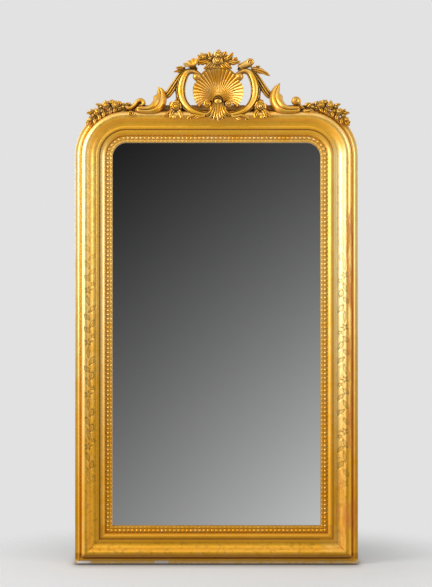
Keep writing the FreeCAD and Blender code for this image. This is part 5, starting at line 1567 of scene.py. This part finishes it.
def timber(name, light, dark, along, scale):
    """Sawn softwood with old stains, its long grain running along the axis given."""
    made, paint, place = new_material(name)
    stretch = [scale, scale, scale]
    stretch[along] = scale*GRAIN_STRETCH_SHARE
    run = place.stretched(stretch)
    rings = (run.noise(*RINGS) + run.noise(FIGURE)*FIGURE_SHARE).step(*RING_STEP)
    saw = place.noise(*SAW_MARKS)
    stain = (place.noise(*STAINS) - STAIN_FROM).at_least(0.0)*STAIN_RISE
    tone = paint.mix(paint.mix(light, dark, rings), OLD_STAIN, stain)
    relief = rings*RING_RELIEF_SHARE + saw*(1 - RING_RELIEF_SHARE)
    return finished(made, paint, {"Base Color": tone, "Roughness": TIMBER_ROUGH + saw.swing(SAW_ROUGH),
                                  "Normal": bumped(paint, SAW_BUMP, SAW_RELIEF, relief)})


IRON, RUST = colour(0.13, 0.12, 0.115), colour(0.20, 0.075, 0.028)
RUST_PATCHES, RUST_STEP = (180.0, 5.0, 0.65), (0.42, 0.62)
RUST_DULLS, IRON_ROUGH, RUST_ROUGH = 0.85, 0.42, 0.4
PIT_SCALE, PIT_BUMP, PIT_RELIEF = 700.0, 0.4, 0.0003


def rusted_iron():
    made, paint, place = new_material("old_iron")
    rust = place.noise(*RUST_PATCHES).step(*RUST_STEP)
    normal = bumped(paint, PIT_BUMP, PIT_RELIEF, place.noise(PIT_SCALE))
    return finished(made, paint, {"Base Color": paint.mix(IRON, RUST, rust), "Metallic": 1 - rust*RUST_DULLS,
                                  "Roughness": IRON_ROUGH + rust*RUST_ROUGH, "Normal": normal})


gilt_moulding = moulding_gilding()
gilt_carving = carving_gilding()
glass = silvered_glass()
rail_timber = timber("rail_timber", PINE, PINE_GRAIN, ACROSS_AXIS, PINE_SCALE)
stile_timber = timber("stile_timber", PINE, PINE_GRAIN, UP_AXIS, PINE_SCALE)
board_timber = timber("board_timber", BOARD, BOARD_GRAIN, ACROSS_AXIS, BOARD_SCALE)
iron = rusted_iron()

# Each made piece stands for its node; faces that meet at less than these degrees are shaded as one
MOULDED_DEGREES, CARVED_DEGREES = 30, 50


def dress(pieces, material, degrees):
    for node, piece in pieces.items():
        smooth(piece, degrees)
        piece.data.materials.clear()
        piece.data.materials.append(material)
        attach(piece, "mirror")
        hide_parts(node)


dress(mouldings, gilt_moulding, MOULDED_DEGREES)
dress(pearl_rows, gilt_carving, CARVED_DEGREES)
dress(carvings, gilt_carving, CARVED_DEGREES)
dress(compositions, gilt_carving, CARVED_DEGREES)


def repaint(material, *names):
    for name in names:
        mesh = nodes[name].data
        mesh.materials.clear()
        mesh.materials.append(material)


repaint(glass, "mirror_plate")
repaint(rail_timber, "carcass_top_rail", "carcass_bottom_rail", "glass_blocks")
repaint(stile_timber, "carcass_left_stile", "carcass_right_stile", "crest_upright")
boards = [name for name in nodes if name.startswith("back_board_") and name != "back_board_nails"]
repaint(board_timber, *boards)
repaint(iron, "back_board_nails", "crest_screws", "hanger_screws", "hanger_strap_left", "hanger_strap_right",
        "hanger_ring_left", "hanger_ring_right")

# Stage. The camera stands where the photo's did, straight in front, and pixels are counted in the photo.
PHOTO_WIDE, PHOTO_HIGH = 432, 587
PHOTO_BASE_PIXEL, PHOTO_CENTRE_PIXEL, FRAME_PIXELS = 563.5, 216.5, 283
METRES_PER_PIXEL = 2*HALF_WIDTH/FRAME_PIXELS
CAMERA_AWAY, FACE_OUT, SENSOR = 5.5, 0.046, 36

# Floor: it fades out at shares of its radius, with a painted shadow in front of the frame and a darker
# painted contact shadow close under it
FLOOR_RADIUS, FLOOR_SIDES, FLOOR_INSET_SHARE, FLOOR_FADE_SHARES = 4.0, 96, 0.4, (0.105, 0.25)
SHADE_SOFT, SHADE_RANGE = 0.03, (-0.17, -FACE_OUT)
CONTACT_SOFT, CONTACT_RANGE = 0.012, (-0.092, -0.060)
FLOOR_GREY = colour(0.60, 0.60, 0.60)
FLOOR_SHADE = colour(0.32, 0.31, 0.29)
CONTACT_SHADE = colour(0.05, 0.045, 0.04)
FLOOR_ROUGH = 0.9

# Each light's name, place, target, width, height and power
SOFTBOXES = (
    ("key_left", (-2.7, -1.6, 2.1), (0, 0, 1.1), 1.6, 2.2, 84),
    ("fill_right", (2.8, -1.8, 1.8), (0, 0, 1.0), 1.3, 2.0, 30),
    ("overhead", (0, -1.9, 3.1), (0, 0, 0.9), 2.4, 1.4, 10),
)

# Surround: its level, how it grows upwards and to the sides, and what the camera sees of it
SKY_LEVEL, SKY_RANGE, SKY_RISE, SKY_SIDES, SKY_LEAN = 0.38, (-0.3, 0.9), 0.20, 0.55, 0.12
BACKDROP = 0.76

# The part that the glass mirrors: directions as shares of the plate across and down, then the tone over them
FACING_RANGE, PLATE_ACROSS, PLATE_DOWN = (0.955, 0.986), (0.5, 8.2), (0.39, 4.46)
PLATE_LEVEL, PLATE_TO_RIGHT, PLATE_TO_FLOOR, PLATE_TO_CORNER = 0.137, 0.141, 0.369, 0.10
PLATE_LEAST, PLATE_MOST, PLATE_GAMMA, PLATE_STRENGTH = 0.10, 0.80, 2.2, 1.15


def studio_floor():
    select_only()
    bpy.ops.mesh.primitive_circle_add(vertices=FLOOR_SIDES, radius=FLOOR_RADIUS, fill_type="NGON",
                                      calc_uvs=False)
    floor = bpy.context.active_object
    floor.name = "studio_floor"
    edit(floor)
    bpy.ops.mesh.inset(thickness=FLOOR_RADIUS*FLOOR_INSET_SHARE)
    leave_edit()
    made, paint, place = new_material("studio_floor")
    across, back, _ = place.axes()
    reach = place.add("ShaderNodeVectorMath", {"operation": "LENGTH"}, {0: place}, "Value")
    fade = 1 - (reach/FLOOR_RADIUS).step(*FLOOR_FADE_SHARES)
    # Painted shadow in front of the frame and painted contact shadow under its foot
    painted_floor_shadow = across.within(-HALF_WIDTH, HALF_WIDTH, SHADE_SOFT)*back.step(*SHADE_RANGE)
    painted_contact_shadow = across.within(-HALF_WIDTH, HALF_WIDTH, CONTACT_SOFT)*back.step(*CONTACT_RANGE)
    tone = paint.mix(FLOOR_GREY, FLOOR_SHADE, painted_floor_shadow)
    tone = paint.mix(tone, CONTACT_SHADE, painted_contact_shadow)
    finished(made, paint, {"Base Color": tone, "Roughness": FLOOR_ROUGH, "Alpha": fade})
    floor.data.materials.append(made)
    floor.visible_glossy = False


def camera():
    data = bpy.data.cameras.new("camera")
    made = bpy.data.objects.new("camera", data)
    bpy.context.scene.collection.objects.link(made)
    height = (PHOTO_BASE_PIXEL - PHOTO_HIGH/2)*METRES_PER_PIXEL
    aside = (PHOTO_WIDE/2 - PHOTO_CENTRE_PIXEL)*METRES_PER_PIXEL
    made.location = (aside, -CAMERA_AWAY, height)
    made.rotation_euler = (QUARTER, 0, 0)
    data.sensor_width = SENSOR
    data.lens = SENSOR*(CAMERA_AWAY - FACE_OUT)/(PHOTO_HIGH*METRES_PER_PIXEL)
    bpy.context.scene.camera = made


def softbox(name, place, target, wide, high, power):
    data = bpy.data.lights.new(name, "AREA")
    data.shape = "RECTANGLE"
    data.size, data.size_y = wide, high
    data.energy = power
    made = bpy.data.objects.new(name, data)
    bpy.context.scene.collection.objects.link(made)
    made.location = place
    made.rotation_euler = (Vector(target) - Vector(place)).to_track_quat("-Z", "Y").to_euler()


def studio_world():
    """Pale surround; in front of the mirror a darker part that brightens towards the lower right."""
    world = bpy.data.worlds.new("studio")
    bpy.context.scene.world = world
    world.use_nodes = True
    world.node_tree.nodes.clear()
    paint = Tone(world.node_tree)
    right, back, up = paint.add("ShaderNodeTexCoord", None, None, "Generated").axes()
    sky = SKY_LEVEL + up.step(*SKY_RANGE)*SKY_RISE + right*right*SKY_SIDES - right*SKY_LEAN
    across = right*PLATE_ACROSS[1] + PLATE_ACROSS[0]
    down = PLATE_DOWN[0] - up*PLATE_DOWN[1]
    plate = PLATE_LEVEL + across*PLATE_TO_RIGHT + down*PLATE_TO_FLOOR + across*down*PLATE_TO_CORNER
    plate = plate.at_least(PLATE_LEAST).at_most(PLATE_MOST)**PLATE_GAMMA
    facing = (back*-1).step(*FACING_RANGE)
    seen = sky*(1 - facing) + plate*facing*PLATE_STRENGTH
    camera_ray = paint.add("ShaderNodeLightPath", None, None, "Is Camera Ray")
    strength = seen*(1 - camera_ray) + camera_ray*BACKDROP
    shader = paint.add("ShaderNodeBackground", None, {"Color": colour(1, 1, 1), "Strength": strength})
    paint.add("ShaderNodeOutputWorld", None, {"Surface": shader})


studio_floor()
camera()
studio_world()
for row in SOFTBOXES:
    softbox(*row)
bpy.context.scene.view_settings.view_transform = "Standard"
